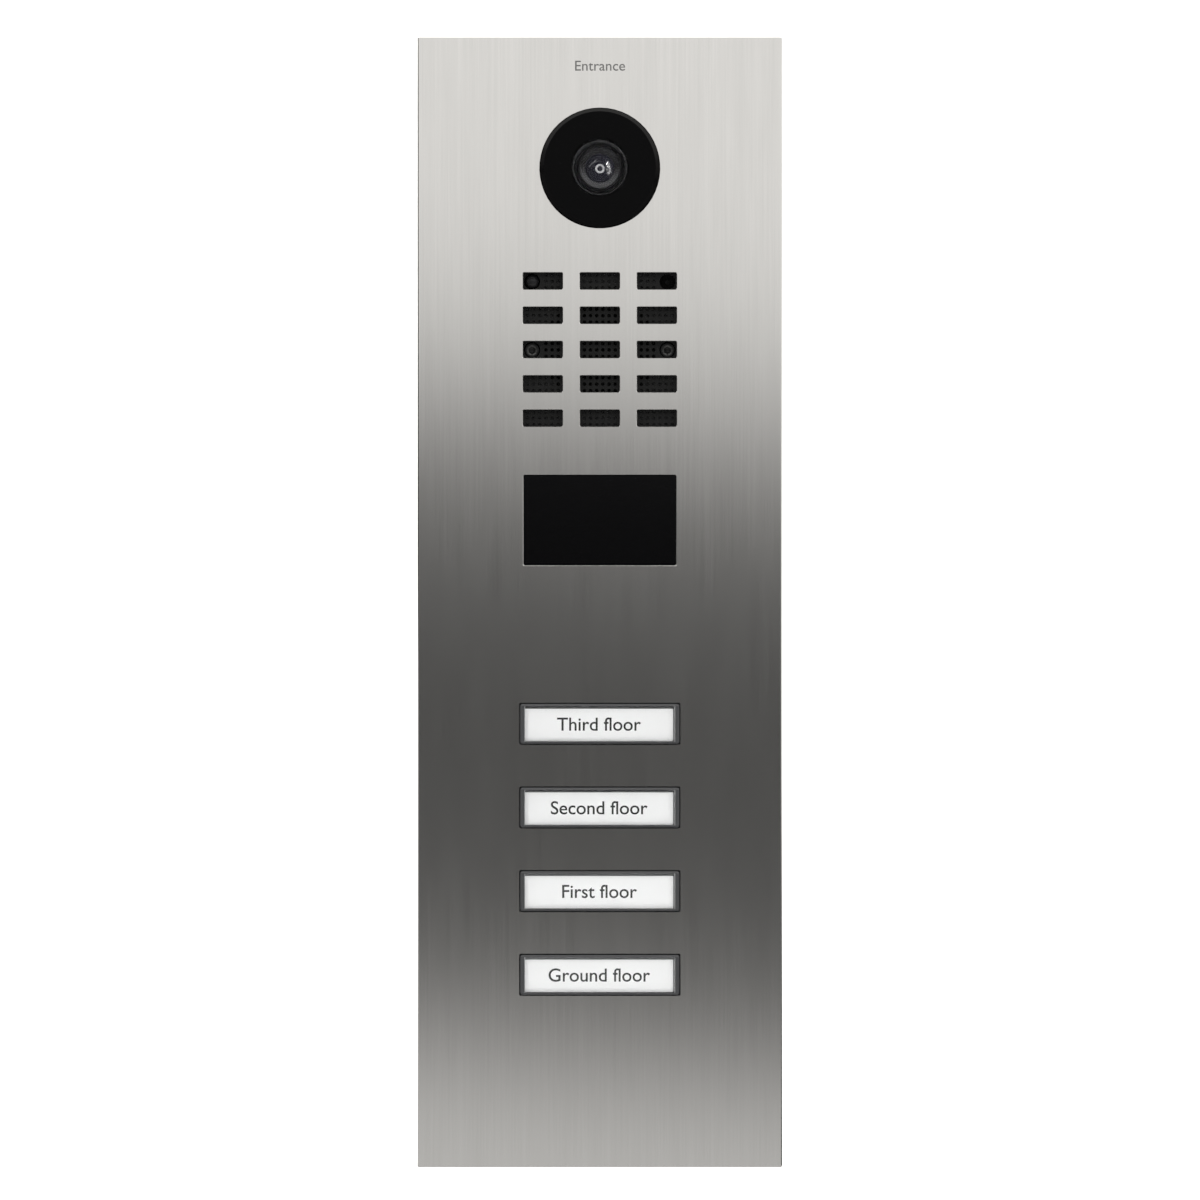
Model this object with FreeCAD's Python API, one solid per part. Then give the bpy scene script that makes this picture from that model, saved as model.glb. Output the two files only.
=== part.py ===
import FreeCAD
import Part
import os
from math import cos, pi, radians, sin

# Door intercom panel for a flush wall box: a brushed steel face plate that carries a camera,
# loudspeaker, card reader window and four lit call buttons. Millimetres.
# X runs to the right as seen from the front, Z is up, and the front faces -Y.
# The origin is at the middle of the plate, in the wall plane y = 0, which is the rear face
# of the gasket. Ranges are (low, high) along an axis; places are (x, z).

# Face plate and gasket
PLATE_WIDTH = 109.0
PLATE_HEIGHT = 338.0
PLATE_THICKNESS = 3.0
PLATE_CORNER = 0.5
GASKET_THICKNESS = 1.0
GASKET_BAND = 5.0
GASKET_INSET = 1.5
PLATE_REAR = -GASKET_THICKNESS
PLATE_FRONT = PLATE_REAR - PLATE_THICKNESS

# Heights of the features above the middle of the plate
CAMERA_Z = 129.6
SPEECH_Z = 75.4
WINDOW_Z = 24.4
FIRST_BUTTON_Z = -36.5
BUTTON_PITCH = 25.0
BUTTON_COUNT = 4
HOOK_Z = -146.0

# Openings in the plate
CAMERA_HOLE_RADIUS = 17.95
SLOT_SIZE = (11.9, 5.1)
SLOT_PITCH = (17.05, 10.25)
SLOT_COLUMNS = 3
SLOT_ROWS = 5
WINDOW_SIZE = (45.7, 27.2)
BUTTON_HOLE = (48.0, 12.4)

# Upper module: the housing of the electronics, behind the top half of the plate
MODULE_WIDTH = 82.0
MODULE_HEIGHT = 156.0
MODULE_Z = 79.0
MODULE_CORNER = 4.0
MODULE_WALL = 2.0
FRONT_WALL_REAR = 2.0
SHELL_REAR = 21.4
SEAL_THICKNESS = 0.6
COVER_FRONT = SHELL_REAR + SEAL_THICKNESS
COVER_REAR = COVER_FRONT + 5.0
BOARD_FRONT = 16.0
BOARD_REAR = BOARD_FRONT + 1.6

# Button module: the housing of the four call buttons
BUTTON_MODULE_WIDTH = 66.0
BUTTON_MODULE_HEIGHT = 106.0
BUTTON_MODULE_REAR = 12.0
KEY_BOARD_FRONT = 8.6
KEY_BOARD_REAR = 10.2
KEY_MAT = (4.6, 5.4)
POST_X = (-14.0, 0.0, 14.0)
LED_X = (-21.0, -7.2, 7.2, 21.0)

# Hook bracket
HOOK_PLATE_REAR = PLATE_REAR + 1.5

# Fasteners: M3 studs and nuts, M3 wall screws, M2.5 x 10 housing screws
STUD_RADIUS = 1.5
STUD_REAR = 6.5
NUT_ACROSS_FLATS = 5.5
NUT_HEIGHT = 2.4
WALL_SCREW_X = 20.3
WALL_SCREW_TIP = 37.5
WALL_SCREW_THREAD = 9.4
HEAD_RADIUS = 2.3
SCREW_RADIUS = 1.25
SCREW_LENGTH = 10.0
SCREW_HEAD_HEIGHT = 1.6
THREAD_BORE = 1.3
CLEAR_BORE = 1.4

# Camera
LENS_AXIS = (0.0, CAMERA_Z)
BEZEL_FRONT = -6.5
BEZEL_RADIUS = 17.75
LED_CIRCLE = 12.4
FILTER_STEP = 6.8
FILTER_SLOT = (9.8, 11.2)
DRIVE_TOP = CAMERA_Z - 8.4

# Terminals
TERMINAL_Z = 26.0
TERMINAL_WAYS = 14
TERMINAL_PITCH = 3.81

# Ribbon cable between the two modules
RIBBON_START_Y = 23.4
RIBBON_TOP_Z = 7.0
RIBBON_END_Y = 11.2
RIBBON_BOTTOM_Z = -27.0

FEATURE_Z = SPEECH_Z + 2 * SLOT_PITCH[1]
BUTTON_HEIGHTS = [FIRST_BUTTON_Z - BUTTON_PITCH * i for i in range(BUTTON_COUNT)]
BUTTON_MODULE_Z = (BUTTON_HEIGHTS[0] + BUTTON_HEIGHTS[-1]) / 2


def mirrored(x, heights):
    """Places on both sides of the centre line, at each height."""
    return [(side * x, z) for z in heights for side in (-1, 1)]


def around(centre, x, z):
    """The four corner places at distances x and z from a centre."""
    return mirrored(x, (centre - z, centre + z))


UPPER_STUDS = mirrored(44.0, (MODULE_Z - 65, MODULE_Z, MODULE_Z + 65))
BUTTON_STUDS = around(BUTTON_MODULE_Z, 36.5, 40.5)
HOOK_STUDS = mirrored(20.0, (HOOK_Z,))
COVER_BOSSES = mirrored(36.3, (MODULE_Z - 72.8, MODULE_Z, MODULE_Z + 72.8))
BOARD_PILLARS = around(MODULE_Z, 30.0, 67.0)
CAMERA_BOSSES = around(CAMERA_Z, 12.0, 12.0)
READER_POSTS = around(WINDOW_Z, 21.0, 12.0)
KEY_BOSSES = around(BUTTON_MODULE_Z, 27.4, 47.7)
WALL_SCREWS = mirrored(WALL_SCREW_X, (SPEECH_Z,))
MICROPHONE = (WALL_SCREW_X, FEATURE_Z)
LIGHT_SENSOR = (-WALL_SCREW_X, FEATURE_Z)


def point(place, y):
    return FreeCAD.Vector(place[0], y, place[1])


def span_box(x, y, z):
    """Box between two ends on each axis."""
    return Part.makeBox(x[1] - x[0], y[1] - y[0], z[1] - z[0], FreeCAD.Vector(x[0], y[0], z[0]))


def rod(radius, y, at=(0.0, 0.0)):
    """Round bar along Y."""
    return Part.makeCylinder(radius, y[1] - y[0], point(at, y[0]), FreeCAD.Vector(0, 1, 0))


def taper(radii, y, at=(0.0, 0.0)):
    """Cone along Y, with its radius at each end."""
    return Part.makeCone(radii[0], radii[1], y[1] - y[0], point(at, y[0]), FreeCAD.Vector(0, 1, 0))


def outline(width, height, radius, centre, y):
    """Wire of a rectangle with round corners, in the plane y."""
    def on_corner(corner, angle):
        x = centre[0] + corner[0] * (width / 2 - radius) + radius * cos(radians(angle))
        z = centre[1] + corner[1] * (height / 2 - radius) + radius * sin(radians(angle))
        return FreeCAD.Vector(x, y, z)

    corners = [(1, 1), (-1, 1), (-1, -1), (1, -1)]
    edges = []
    for i, corner in enumerate(corners):
        start = 90 * i
        arc = [on_corner(corner, start + turn) for turn in (0, 45, 90)]
        edges.append(Part.Arc(*arc).toShape())
        following = on_corner(corners[(i + 1) % 4], start + 90)
        edges.append(Part.LineSegment(arc[2], following).toShape())
    return Part.Wire(edges)


def slab(width, height, y, centre=(0.0, 0.0), radius=0.3):
    """Plate in the XZ plane with round corners, between two depths."""
    face = Part.Face(outline(width, height, radius, centre, y[0]))
    return face.extrude(FreeCAD.Vector(0, y[1] - y[0], 0))


def turned(profile, at=(0.0, 0.0)):
    """Solid of revolution about Y, from points (radius, y)."""
    corners = [FreeCAD.Vector(radius, y, 0) for radius, y in profile]
    face = Part.Face(Part.makePolygon(corners + corners[:1]))
    solid = face.revolve(FreeCAD.Vector(0, 0, 0), FreeCAD.Vector(0, 1, 0), 360)
    solid.translate(point(at, 0))
    return solid


def hexagon(across_flats, y, at):
    """Six-sided bar along Y, with two flats facing the sides."""
    radius = across_flats / 2 / cos(pi / 6)
    angles = [pi / 6 + i * pi / 3 for i in range(6)]
    corners = [FreeCAD.Vector(at[0] + radius * cos(a), y[0], at[1] + radius * sin(a)) for a in angles]
    face = Part.Face(Part.makePolygon(corners + corners[:1]))
    return face.extrude(FreeCAD.Vector(0, y[1] - y[0], 0))


def join(*solids):
    """One solid of pieces that touch or overlap."""
    joined = solids[0].fuse(list(solids[1:])).removeSplitter()
    assert len(joined.Solids) == 1
    return joined.Solids[0]


def cut(solid, *tools):
    """The solid without the tools, still in one piece."""
    left = solid.cut(list(tools))
    assert len(left.Solids) == 1
    return left.Solids[0]


def edges_at(solid, y):
    """Edges that lie in the plane y."""
    boxes = [(edge, edge.BoundBox) for edge in solid.Edges]
    return [edge for edge, box in boxes if abs(box.YMin - y) < 0.01 and abs(box.YMax - y) < 0.01]


def save(name, *solids):
    """Write one sub-part, or a group of like pieces, as a STEP file."""
    shape = solids[0] if len(solids) == 1 else Part.makeCompound(solids)
    assert shape.isValid(), name
    shape.exportStep("parts/" + name + ".step")


def slot_places():
    """Centres of the speech slots, row by row from the top."""
    columns = [(i - (SLOT_COLUMNS - 1) / 2) * SLOT_PITCH[0] for i in range(SLOT_COLUMNS)]
    rows = [SPEECH_Z + ((SLOT_ROWS - 1) / 2 - i) * SLOT_PITCH[1] for i in range(SLOT_ROWS)]
    return [(x, z) for z in rows for x in columns]


def faceplate():
    """Steel sheet with its openings, every front edge broken by a small chamfer."""
    rim_chamfer = 0.35
    opening_chamfer = 0.12
    opening_corner = 0.4
    openings = [Part.Wire(Part.Circle(point(LENS_AXIS, PLATE_FRONT), FreeCAD.Vector(0, 1, 0),
                                      CAMERA_HOLE_RADIUS).toShape())]
    openings.append(outline(*WINDOW_SIZE, opening_corner, (0.0, WINDOW_Z), PLATE_FRONT))
    openings += [outline(*SLOT_SIZE, opening_corner, place, PLATE_FRONT) for place in slot_places()]
    openings += [outline(*BUTTON_HOLE, opening_corner, (0.0, z), PLATE_FRONT) for z in BUTTON_HEIGHTS]
    rim = outline(PLATE_WIDTH, PLATE_HEIGHT, PLATE_CORNER, (0.0, 0.0), PLATE_FRONT)
    sheet = slab(PLATE_WIDTH, PLATE_HEIGHT, (PLATE_FRONT, PLATE_REAR), radius=PLATE_CORNER)
    depth = FreeCAD.Vector(0, PLATE_THICKNESS, 0)
    sheet = cut(sheet, *[Part.Face(opening).extrude(depth) for opening in openings])
    on_rim = [edge for edge in edges_at(sheet, PLATE_FRONT) if rim.distToShape(edge)[0] < 0.01]
    sheet = sheet.makeChamfer(rim_chamfer, on_rim)
    in_openings = [edge for edge in edges_at(sheet, PLATE_FRONT) if rim.distToShape(edge)[0] > 1.0]
    sheet = sheet.makeChamfer(opening_chamfer, in_openings)
    save("faceplate", sheet.Solids[0])


def plate_fixings():
    """Weld studs on the back of the plate, and the nuts that hold the modules on them."""
    studs = UPPER_STUDS + BUTTON_STUDS + HOOK_STUDS
    save("faceplate_studs", *[rod(STUD_RADIUS, (PLATE_REAR, STUD_REAR), at) for at in studs])
    bore = STUD_RADIUS + 0.02
    nuts = []
    for at in studs:
        seat = HOOK_PLATE_REAR if at in HOOK_STUDS else FRONT_WALL_REAR
        depth = (seat, seat + NUT_HEIGHT)
        nuts.append(cut(hexagon(NUT_ACROSS_FLATS, depth, at), rod(bore, depth, at)))
    save("stud_nuts", *nuts)


def wall_gasket():
    """Foam ring that seals the plate to the wall."""
    outer = (PLATE_WIDTH - 2 * GASKET_INSET, PLATE_HEIGHT - 2 * GASKET_INSET)
    inner = (outer[0] - 2 * GASKET_BAND, outer[1] - 2 * GASKET_BAND)
    depth = (PLATE_REAR, 0.0)
    save("wall_gasket", cut(slab(*outer, depth, radius=1.0), slab(*inner, depth, radius=1.0)))


def wall_screws():
    """Captive socket screws that pull the panel to the wall box, each held by a clip round its waist."""
    head = (0.1, 2.5)
    socket = (2.0, (head[0], head[0] + 1.3))
    waist_radius = 1.15
    clip_depth = (COVER_REAR + 0.2, COVER_REAR + 0.8)
    clip_radius = 3.2
    clip_gap = 0.9
    thread = (WALL_SCREW_TIP - WALL_SCREW_THREAD, WALL_SCREW_TIP)
    screws = []
    clips = []
    for at in WALL_SCREWS:
        waist = rod(waist_radius, (head[1], thread[0]), at)
        screw = join(rod(HEAD_RADIUS, head, at), waist, rod(STUD_RADIUS, thread, at))
        screws.append(cut(screw, hexagon(*socket, at)))
        mouth = span_box((at[0] - clip_gap, at[0] + clip_gap), clip_depth, (at[1] - 4, at[1]))
        clips.append(cut(rod(clip_radius, clip_depth, at), rod(waist_radius + 0.02, clip_depth, at), mouth))
    save("fixing_screws", *screws)
    save("fixing_clips", *clips)


def hook_bracket():
    """Bent steel strip whose two tongues hook behind the lower edge of the wall box."""
    sheet = HOOK_PLATE_REAR - PLATE_REAR
    bottom = HOOK_Z - 6
    tongue_x = 22.0
    half_tongue = 5.0
    reach = 14.0
    drop = 6.0
    bend = 1.0
    bracket = span_box((-30.0, 30.0), (PLATE_REAR, HOOK_PLATE_REAR), (bottom, HOOK_Z + 8))
    for side in (-1, 1):
        x = (side * tongue_x - half_tongue, side * tongue_x + half_tongue)
        shelf = span_box(x, (PLATE_REAR, reach), (bottom, bottom + sheet))
        tongue = span_box(x, (reach - sheet, reach), (bottom - drop, bottom + sheet))
        bracket = join(bracket, shelf, tongue)
    rear_corners = [edge for edge in edges_at(bracket, reach) if edge.BoundBox.ZMin > bottom]
    bracket = bracket.makeFillet(bend, rear_corners)
    save("hook_bracket", cut(bracket, *[rod(1.7, (PLATE_REAR, reach), at) for at in HOOK_STUDS]))


def ear(at, inner_x, rear):
    """Lug beside a housing wall that takes a stud."""
    side = 1 if at[0] > 0 else -1
    x = sorted((side * inner_x, at[0]))
    half = 3.2
    return [rod(half, (PLATE_REAR, rear), at), span_box(x, (PLATE_REAR, rear), (at[1] - half, at[1] + half))]


def module_front_shell():
    """Moulded tub behind the plate, open to the rear, with seats for everything it carries."""
    inside = (MODULE_WIDTH - 2 * MODULE_WALL, MODULE_HEIGHT - 2 * MODULE_WALL)
    centre = (0.0, MODULE_Z)
    wall = (FRONT_WALL_REAR, SHELL_REAR)
    tub = cut(slab(MODULE_WIDTH, MODULE_HEIGHT, (PLATE_REAR, SHELL_REAR), centre, MODULE_CORNER),
              slab(*inside, wall, centre, MODULE_CORNER - MODULE_WALL))
    added = []
    for at in UPPER_STUDS:
        added += ear(at, MODULE_WIDTH / 2 - 1, FRONT_WALL_REAR)
    added += [rod(3.0, wall, at) for at in COVER_BOSSES]
    added += [rod(2.4, (FRONT_WALL_REAR, BOARD_FRONT), at) for at in BOARD_PILLARS]
    added += [rod(2.3, (FRONT_WALL_REAR, 12.6), at) for at in CAMERA_BOSSES]
    added += [rod(3.6, wall, at) for at in WALL_SCREWS]
    added += [rod(1.8, (FRONT_WALL_REAR, 6.0), at) for at in READER_POSTS]
    added += [rod(0.95, (6.0, 7.9), at) for at in READER_POSTS]
    tub = join(tub, *added)
    through = (PLATE_REAR, FRONT_WALL_REAR)
    removed = [rod(1.7, through, at) for at in UPPER_STUDS]
    removed += [rod(THREAD_BORE, (9.0, SHELL_REAR), at) for at in COVER_BOSSES]
    removed += [rod(THREAD_BORE, (7.0, BOARD_FRONT), at) for at in BOARD_PILLARS]
    removed += [rod(THREAD_BORE, (3.4, 12.6), at) for at in CAMERA_BOSSES]
    removed += [rod(1.75, (PLATE_REAR, SHELL_REAR), at) for at in WALL_SCREWS]
    removed += [rod(2.5, (PLATE_REAR, 2.5), at) for at in WALL_SCREWS]
    speech = (0.0, SPEECH_Z)
    window = (0.0, WINDOW_Z)
    removed += [rod(20.9, (PLATE_REAR, 1.0), LENS_AXIS), rod(9.5, through, LENS_AXIS)]
    removed += [slab(54.4, 50.4, (PLATE_REAR, 0.6), speech), rod(17.0, (0.0, 0.9), speech)]
    removed += [rod(14.2, through, speech)]
    removed += [rod(2.4, through, at) for at in (MICROPHONE, LIGHT_SENSOR)]
    removed += [slab(51.4, 32.4, (PLATE_REAR, 0.6), window), slab(44.0, 25.5, through, window)]
    tub = cut(tub, *removed)
    pegs = [rod(1.0, (PLATE_REAR, 1.2), ring_place(LED_CIRCLE, turn)) for turn in (90, 210, 330)]
    save("module_front_shell", join(tub, *pegs))


def ring_place(radius, degrees):
    """Place on a circle about the lens axis."""
    return (LENS_AXIS[0] + radius * cos(radians(degrees)), LENS_AXIS[1] + radius * sin(radians(degrees)))


def module_rear_cover():
    """Moulded lid with the terminal opening, stiffening ribs and a pressure vent."""
    centre = (0.0, MODULE_Z)
    inner_face = COVER_FRONT + 3.0
    inside = (MODULE_WIDTH - 2 * MODULE_WALL, MODULE_HEIGHT - 2 * MODULE_WALL)
    lid = slab(MODULE_WIDTH, MODULE_HEIGHT, (COVER_FRONT, COVER_REAR), centre, MODULE_CORNER)
    lid = lid.makeFillet(1.0, edges_at(lid, COVER_REAR)).Solids[0]
    lid = cut(lid, slab(*inside, (COVER_FRONT, inner_face), centre, MODULE_CORNER - MODULE_WALL))
    added = [rod(3.0, (COVER_FRONT, inner_face), at) for at in COVER_BOSSES]
    added += [rod(3.6, (SHELL_REAR + 0.2, inner_face), at) for at in WALL_SCREWS]
    vent = (0.0, SPEECH_Z + 19)
    added.append(rod(6.0, (inner_face, COVER_REAR + 1.0), vent))
    rib_height = 0.6
    for z in (45.0, 61.0, 112.0, 128.0, 144.0):
        added.append(span_box((-32.0, 32.0), (inner_face, COVER_REAR + rib_height), (z - 0.7, z + 0.7)))
    lid = join(lid, *added)
    removed = [rod(CLEAR_BORE, (COVER_FRONT, COVER_REAR), at) for at in COVER_BOSSES]
    removed += [rod(2.5, (COVER_REAR - 1.0, COVER_REAR), at) for at in COVER_BOSSES]
    removed += [rod(1.75, (SHELL_REAR, COVER_REAR), at) for at in WALL_SCREWS]
    removed.append(slab(59.0, 14.4, (COVER_FRONT, COVER_REAR), (0.0, TERMINAL_Z)))
    removed.append(span_box((-7.2, 7.2), (COVER_FRONT, RIBBON_START_Y + 1.2), (0.0, 4.0)))
    for turn in range(5):
        x = vent[0] + 3.0 * cos(radians(72 * turn))
        z = vent[1] + 3.0 * sin(radians(72 * turn))
        removed.append(rod(0.6, (inner_face, COVER_REAR + 1.0), (x, z)))
    save("module_rear_cover", cut(lid, *removed))


def module_seal():
    """Rubber cord seal between the tub and its lid."""
    centre = (0.0, MODULE_Z)
    depth = (SHELL_REAR, COVER_FRONT)
    lip = 1.4
    ring = cut(slab(MODULE_WIDTH, MODULE_HEIGHT, depth, centre, MODULE_CORNER),
               slab(MODULE_WIDTH - 2 * lip, MODULE_HEIGHT - 2 * lip, depth, centre, MODULE_CORNER - lip))
    save("module_seal", ring)


def housing_screw(at, seat):
    """M2.5 x 10 pan screw with a cross recess, driven towards the front."""
    head = join(rod(SCREW_RADIUS, (seat - SCREW_LENGTH, seat), at),
                rod(HEAD_RADIUS, (seat, seat + SCREW_HEAD_HEIGHT), at))
    recess = (seat + 0.8, seat + SCREW_HEAD_HEIGHT)
    arm = 1.3
    half = 0.3
    return cut(head, span_box((at[0] - arm, at[0] + arm), recess, (at[1] - half, at[1] + half)),
               span_box((at[0] - half, at[0] + half), recess, (at[1] - arm, at[1] + arm)))


def module_screws():
    """The like screws that hold the boards and the two rear covers."""
    screws = [housing_screw(at, COVER_REAR - 1.0) for at in COVER_BOSSES]
    screws += [housing_screw(at, BOARD_REAR) for at in BOARD_PILLARS]
    screws += [housing_screw(at, 13.8) for at in CAMERA_BOSSES]
    screws += [housing_screw(at, BUTTON_MODULE_REAR + 2.0) for at in KEY_BOSSES]
    save("module_screws", *screws)


def camera_front():
    """Infrared-clear bezel through the plate, its window, and the seal under its flange."""
    edge = (1.05, 1.5)
    front_wall = 2.0
    side_inner = 15.9
    flange = (20.5, (-0.4, 1.0))
    glass = (8.7, 1.0)
    ledge_inner = 8.1
    shroud_rear = (-1.5, 7.4)
    shroud_outer = 9.0
    window_rear = BEZEL_FRONT + glass[1]
    wall_rear = BEZEL_FRONT + front_wall
    profile = [
        (glass[0], BEZEL_FRONT), (BEZEL_RADIUS - edge[0], BEZEL_FRONT), (BEZEL_RADIUS, BEZEL_FRONT + edge[1]),
        (BEZEL_RADIUS, flange[1][0]), (flange[0], flange[1][0]), (flange[0], flange[1][1]),
        (side_inner, flange[1][1]), (side_inner, wall_rear), (shroud_outer, wall_rear),
        (shroud_outer, shroud_rear[0]), (shroud_rear[1], shroud_rear[0]), (ledge_inner, window_rear),
        (glass[0], window_rear)]
    save("camera_bezel", turned(profile, LENS_AXIS))
    save("camera_window", rod(glass[0] - 0.05, (BEZEL_FRONT, window_rear), LENS_AXIS))
    seal = (PLATE_REAR, flange[1][0])
    save("camera_seal", cut(rod(flange[0], seal, LENS_AXIS), rod(18.0, seal, LENS_AXIS)))


def lens():
    """Threaded barrel with its stepped hood, and the domed front element."""
    glass_radius = 4.25
    hood = [(6.0, -4.4), (6.9, -3.9), (6.9, -1.4), (6.0, -1.4), (6.0, 8.4), (2.6, 8.4), (2.6, -2.6),
            (glass_radius + 0.05, -2.6), (glass_radius + 0.05, -3.7), (5.2, -4.4)]
    save("lens_barrel", turned(hood, LENS_AXIS))
    ball_radius = 7.6
    rim = -3.8
    sagitta = ball_radius - (ball_radius ** 2 - glass_radius ** 2) ** 0.5
    ball = Part.makeSphere(ball_radius, point(LENS_AXIS, rim - sagitta + ball_radius))
    save("lens_front_glass", cut(rod(glass_radius, (-6.0, -2.6), LENS_AXIS).common(ball)))


def lens_mount():
    """Holder over the image sensor, with the lens thread and the slot of the filter slider."""
    base = (8.6, 12.6)
    block = span_box((-13.0, 13.0), base, (CAMERA_Z - 8.0, CAMERA_Z + 8.0))
    block = join(block, rod(8.2, (3.0, base[0]), LENS_AXIS))
    slider_slot = span_box((-12.3, 12.3), FILTER_SLOT, (CAMERA_Z - 4.5, CAMERA_Z + 4.5))
    arm_slot = span_box((-6.0, 6.0), FILTER_SLOT, (CAMERA_Z - 8.0, CAMERA_Z - 4.0))
    sensor_room = span_box((-5.5, 5.5), (11.6, base[1]), (CAMERA_Z - 4.5, CAMERA_Z + 4.5))
    save("lens_mount", cut(block, rod(6.05, (3.0, base[0]), LENS_AXIS),
                           rod(3.6, (base[0], base[1]), LENS_AXIS), slider_slot, arm_slot, sensor_room))


def infrared_filter():
    """Slider with a day pane and a night pane, and the arm that its drive moves."""
    depth = (FILTER_SLOT[0] + 0.25, FILTER_SLOT[1] - 0.25)
    pane_recess = 0.25
    half_height = 4.2
    x = (-FILTER_STEP - 4.6, 4.6)
    slider = span_box(x, depth, (CAMERA_Z - half_height, CAMERA_Z + half_height))
    arm = span_box((-4.4, -2.4), depth, (DRIVE_TOP - 0.7, CAMERA_Z))
    slider = join(slider, arm)
    recesses = []
    for centre in (0.0, -FILTER_STEP):
        for recess in ((depth[0], depth[0] + pane_recess), (depth[1] - pane_recess, depth[1])):
            recesses.append(slab(5.8, 6.4, recess, (centre, CAMERA_Z)))
    save("infrared_filter", cut(slider, *recesses))


def filter_drive():
    """Small solenoid on the camera board that moves the filter slider sideways."""
    body = span_box((-7.0, 7.0), (9.0, 12.6), (DRIVE_TOP - 4.6, DRIVE_TOP))
    groove = span_box((-7.0, 7.0), FILTER_SLOT, (DRIVE_TOP - 1.0, DRIVE_TOP))
    save("filter_drive", cut(body, groove))


def camera_boards():
    """Sensor board with its chip, and the ring board with the infrared lights."""
    board = slab(30.0, 30.0, (12.6, 13.8), LENS_AXIS, 1.0)
    save("camera_board", cut(board, *[rod(CLEAR_BORE, (12.6, 13.8), at) for at in CAMERA_BOSSES]))
    save("image_sensor", slab(9.0, 7.0, (11.7, 12.6), LENS_AXIS))
    ring = (-2.2, -1.0)
    save("infrared_board", cut(rod(15.5, ring, LENS_AXIS), rod(9.3, ring, LENS_AXIS)))
    leds = []
    for turn in range(8):
        at = ring_place(LED_CIRCLE, 22.5 + 45 * turn)
        leds.append(join(slab(3.0, 3.0, (-3.2, ring[0]), at), taper((0.8, 1.2), (-3.8, -3.2), at)))
    save("infrared_leds", *leds)


def grille():
    """Perforated black plate behind the speech slots, and the cloth that keeps water out."""
    hole_radius = 0.55
    pitch = (1.85, 1.95)
    columns = 6
    rows = 3
    features = WALL_SCREWS + [MICROPHONE, LIGHT_SENSOR]
    feature_radius = 2.45
    margin = feature_radius + hole_radius + 0.25
    depth = (PLATE_REAR, 0.6)
    front = depth[0]
    holes = [(at, feature_radius) for at in features]
    for slot in slot_places():
        for i in range(columns):
            for j in range(rows):
                x = slot[0] + (i - (columns - 1) / 2) * pitch[0]
                z = slot[1] + (j - (rows - 1) / 2) * pitch[1]
                if all((x - at[0]) ** 2 + (z - at[1]) ** 2 > margin ** 2 for at in features):
                    holes.append(((x, z), hole_radius))
    normal = FreeCAD.Vector(0, 1, 0)
    circles = [Part.Wire(Part.Circle(point(at, front), normal, radius).toShape()) for at, radius in holes]
    tools = [Part.Face(circle).extrude(FreeCAD.Vector(0, depth[1] - depth[0], 0)) for circle in circles]
    save("grille_plate", cut(slab(54.0, 50.0, depth, (0.0, SPEECH_Z)), *tools))
    save("acoustic_mesh", rod(16.8, (0.6, 0.9), (0.0, SPEECH_Z)))


def speaker():
    """Loudspeaker: pressed basket, cone with its surround and dust cap, and magnet."""
    at = (0.0, SPEECH_Z)
    basket = turned([(14.6, 2.0), (16.0, 2.0), (16.0, 3.4), (10.0, 8.2), (4.6, 8.2), (4.6, 7.2), (9.2, 7.2),
                     (14.6, 3.2)], at)
    windows = []
    for turn in range(4):
        x = at[0] + 11.4 * cos(radians(90 * turn + 45))
        z = at[1] + 11.4 * sin(radians(90 * turn + 45))
        windows.append(rod(2.4, (3.6, 9.0), (x, z)))
    save("speaker_basket", cut(basket, *windows))
    cone = turned([(0.0, 3.4), (2.6, 3.8), (4.2, 5.0), (12.2, 2.9), (12.8, 2.3), (13.6, 2.1), (14.5, 2.5),
                   (14.5, 2.9), (13.5, 2.6), (12.9, 2.9), (12.3, 3.5), (4.4, 5.8), (4.4, 8.0), (4.0, 8.0),
                   (4.0, 5.6), (2.4, 4.4), (0.0, 4.0)], at)
    save("speaker_cone", cone)
    magnet = turned([(0.0, 8.6), (3.6, 8.6), (3.6, 11.0), (4.9, 11.0), (4.9, 8.2), (8.5, 8.2), (8.5, 12.1),
                     (8.1, 12.5), (0.0, 12.5)], at)
    save("speaker_magnet", magnet)


def microphone():
    """Electret capsule in a rubber boot that seals it to the front wall."""
    body = rod(3.0, (3.0, 6.0), MICROPHONE)
    pins = [rod(0.3, (6.0, 8.0), (MICROPHONE[0] + x, MICROPHONE[1])) for x in (-1.2, 1.2)]
    save("microphone", join(body, *pins))
    boot = cut(rod(4.4, (FRONT_WALL_REAR, 7.0), MICROPHONE), rod(3.05, (3.0, 7.0), MICROPHONE),
               rod(0.8, (FRONT_WALL_REAR, 3.0), MICROPHONE))
    save("microphone_boot", boot)


def light_guide():
    """Clear guide whose domed front takes daylight to the sensor on the main board."""
    dome_radius = 2.3
    dome_centre = 0.9
    dome = Part.makeSphere(dome_radius, point(LIGHT_SENSOR, dome_centre))
    dome = dome.common(rod(dome_radius, (dome_centre - dome_radius, dome_centre), LIGHT_SENSOR))
    stem = [rod(dome_radius, (dome_centre, 2.0), LIGHT_SENSOR), rod(3.0, (2.0, 2.8), LIGHT_SENSOR),
            rod(1.5, (2.8, 15.0), LIGHT_SENSOR)]
    save("light_guide", join(dome.Solids[0], *stem))


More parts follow.
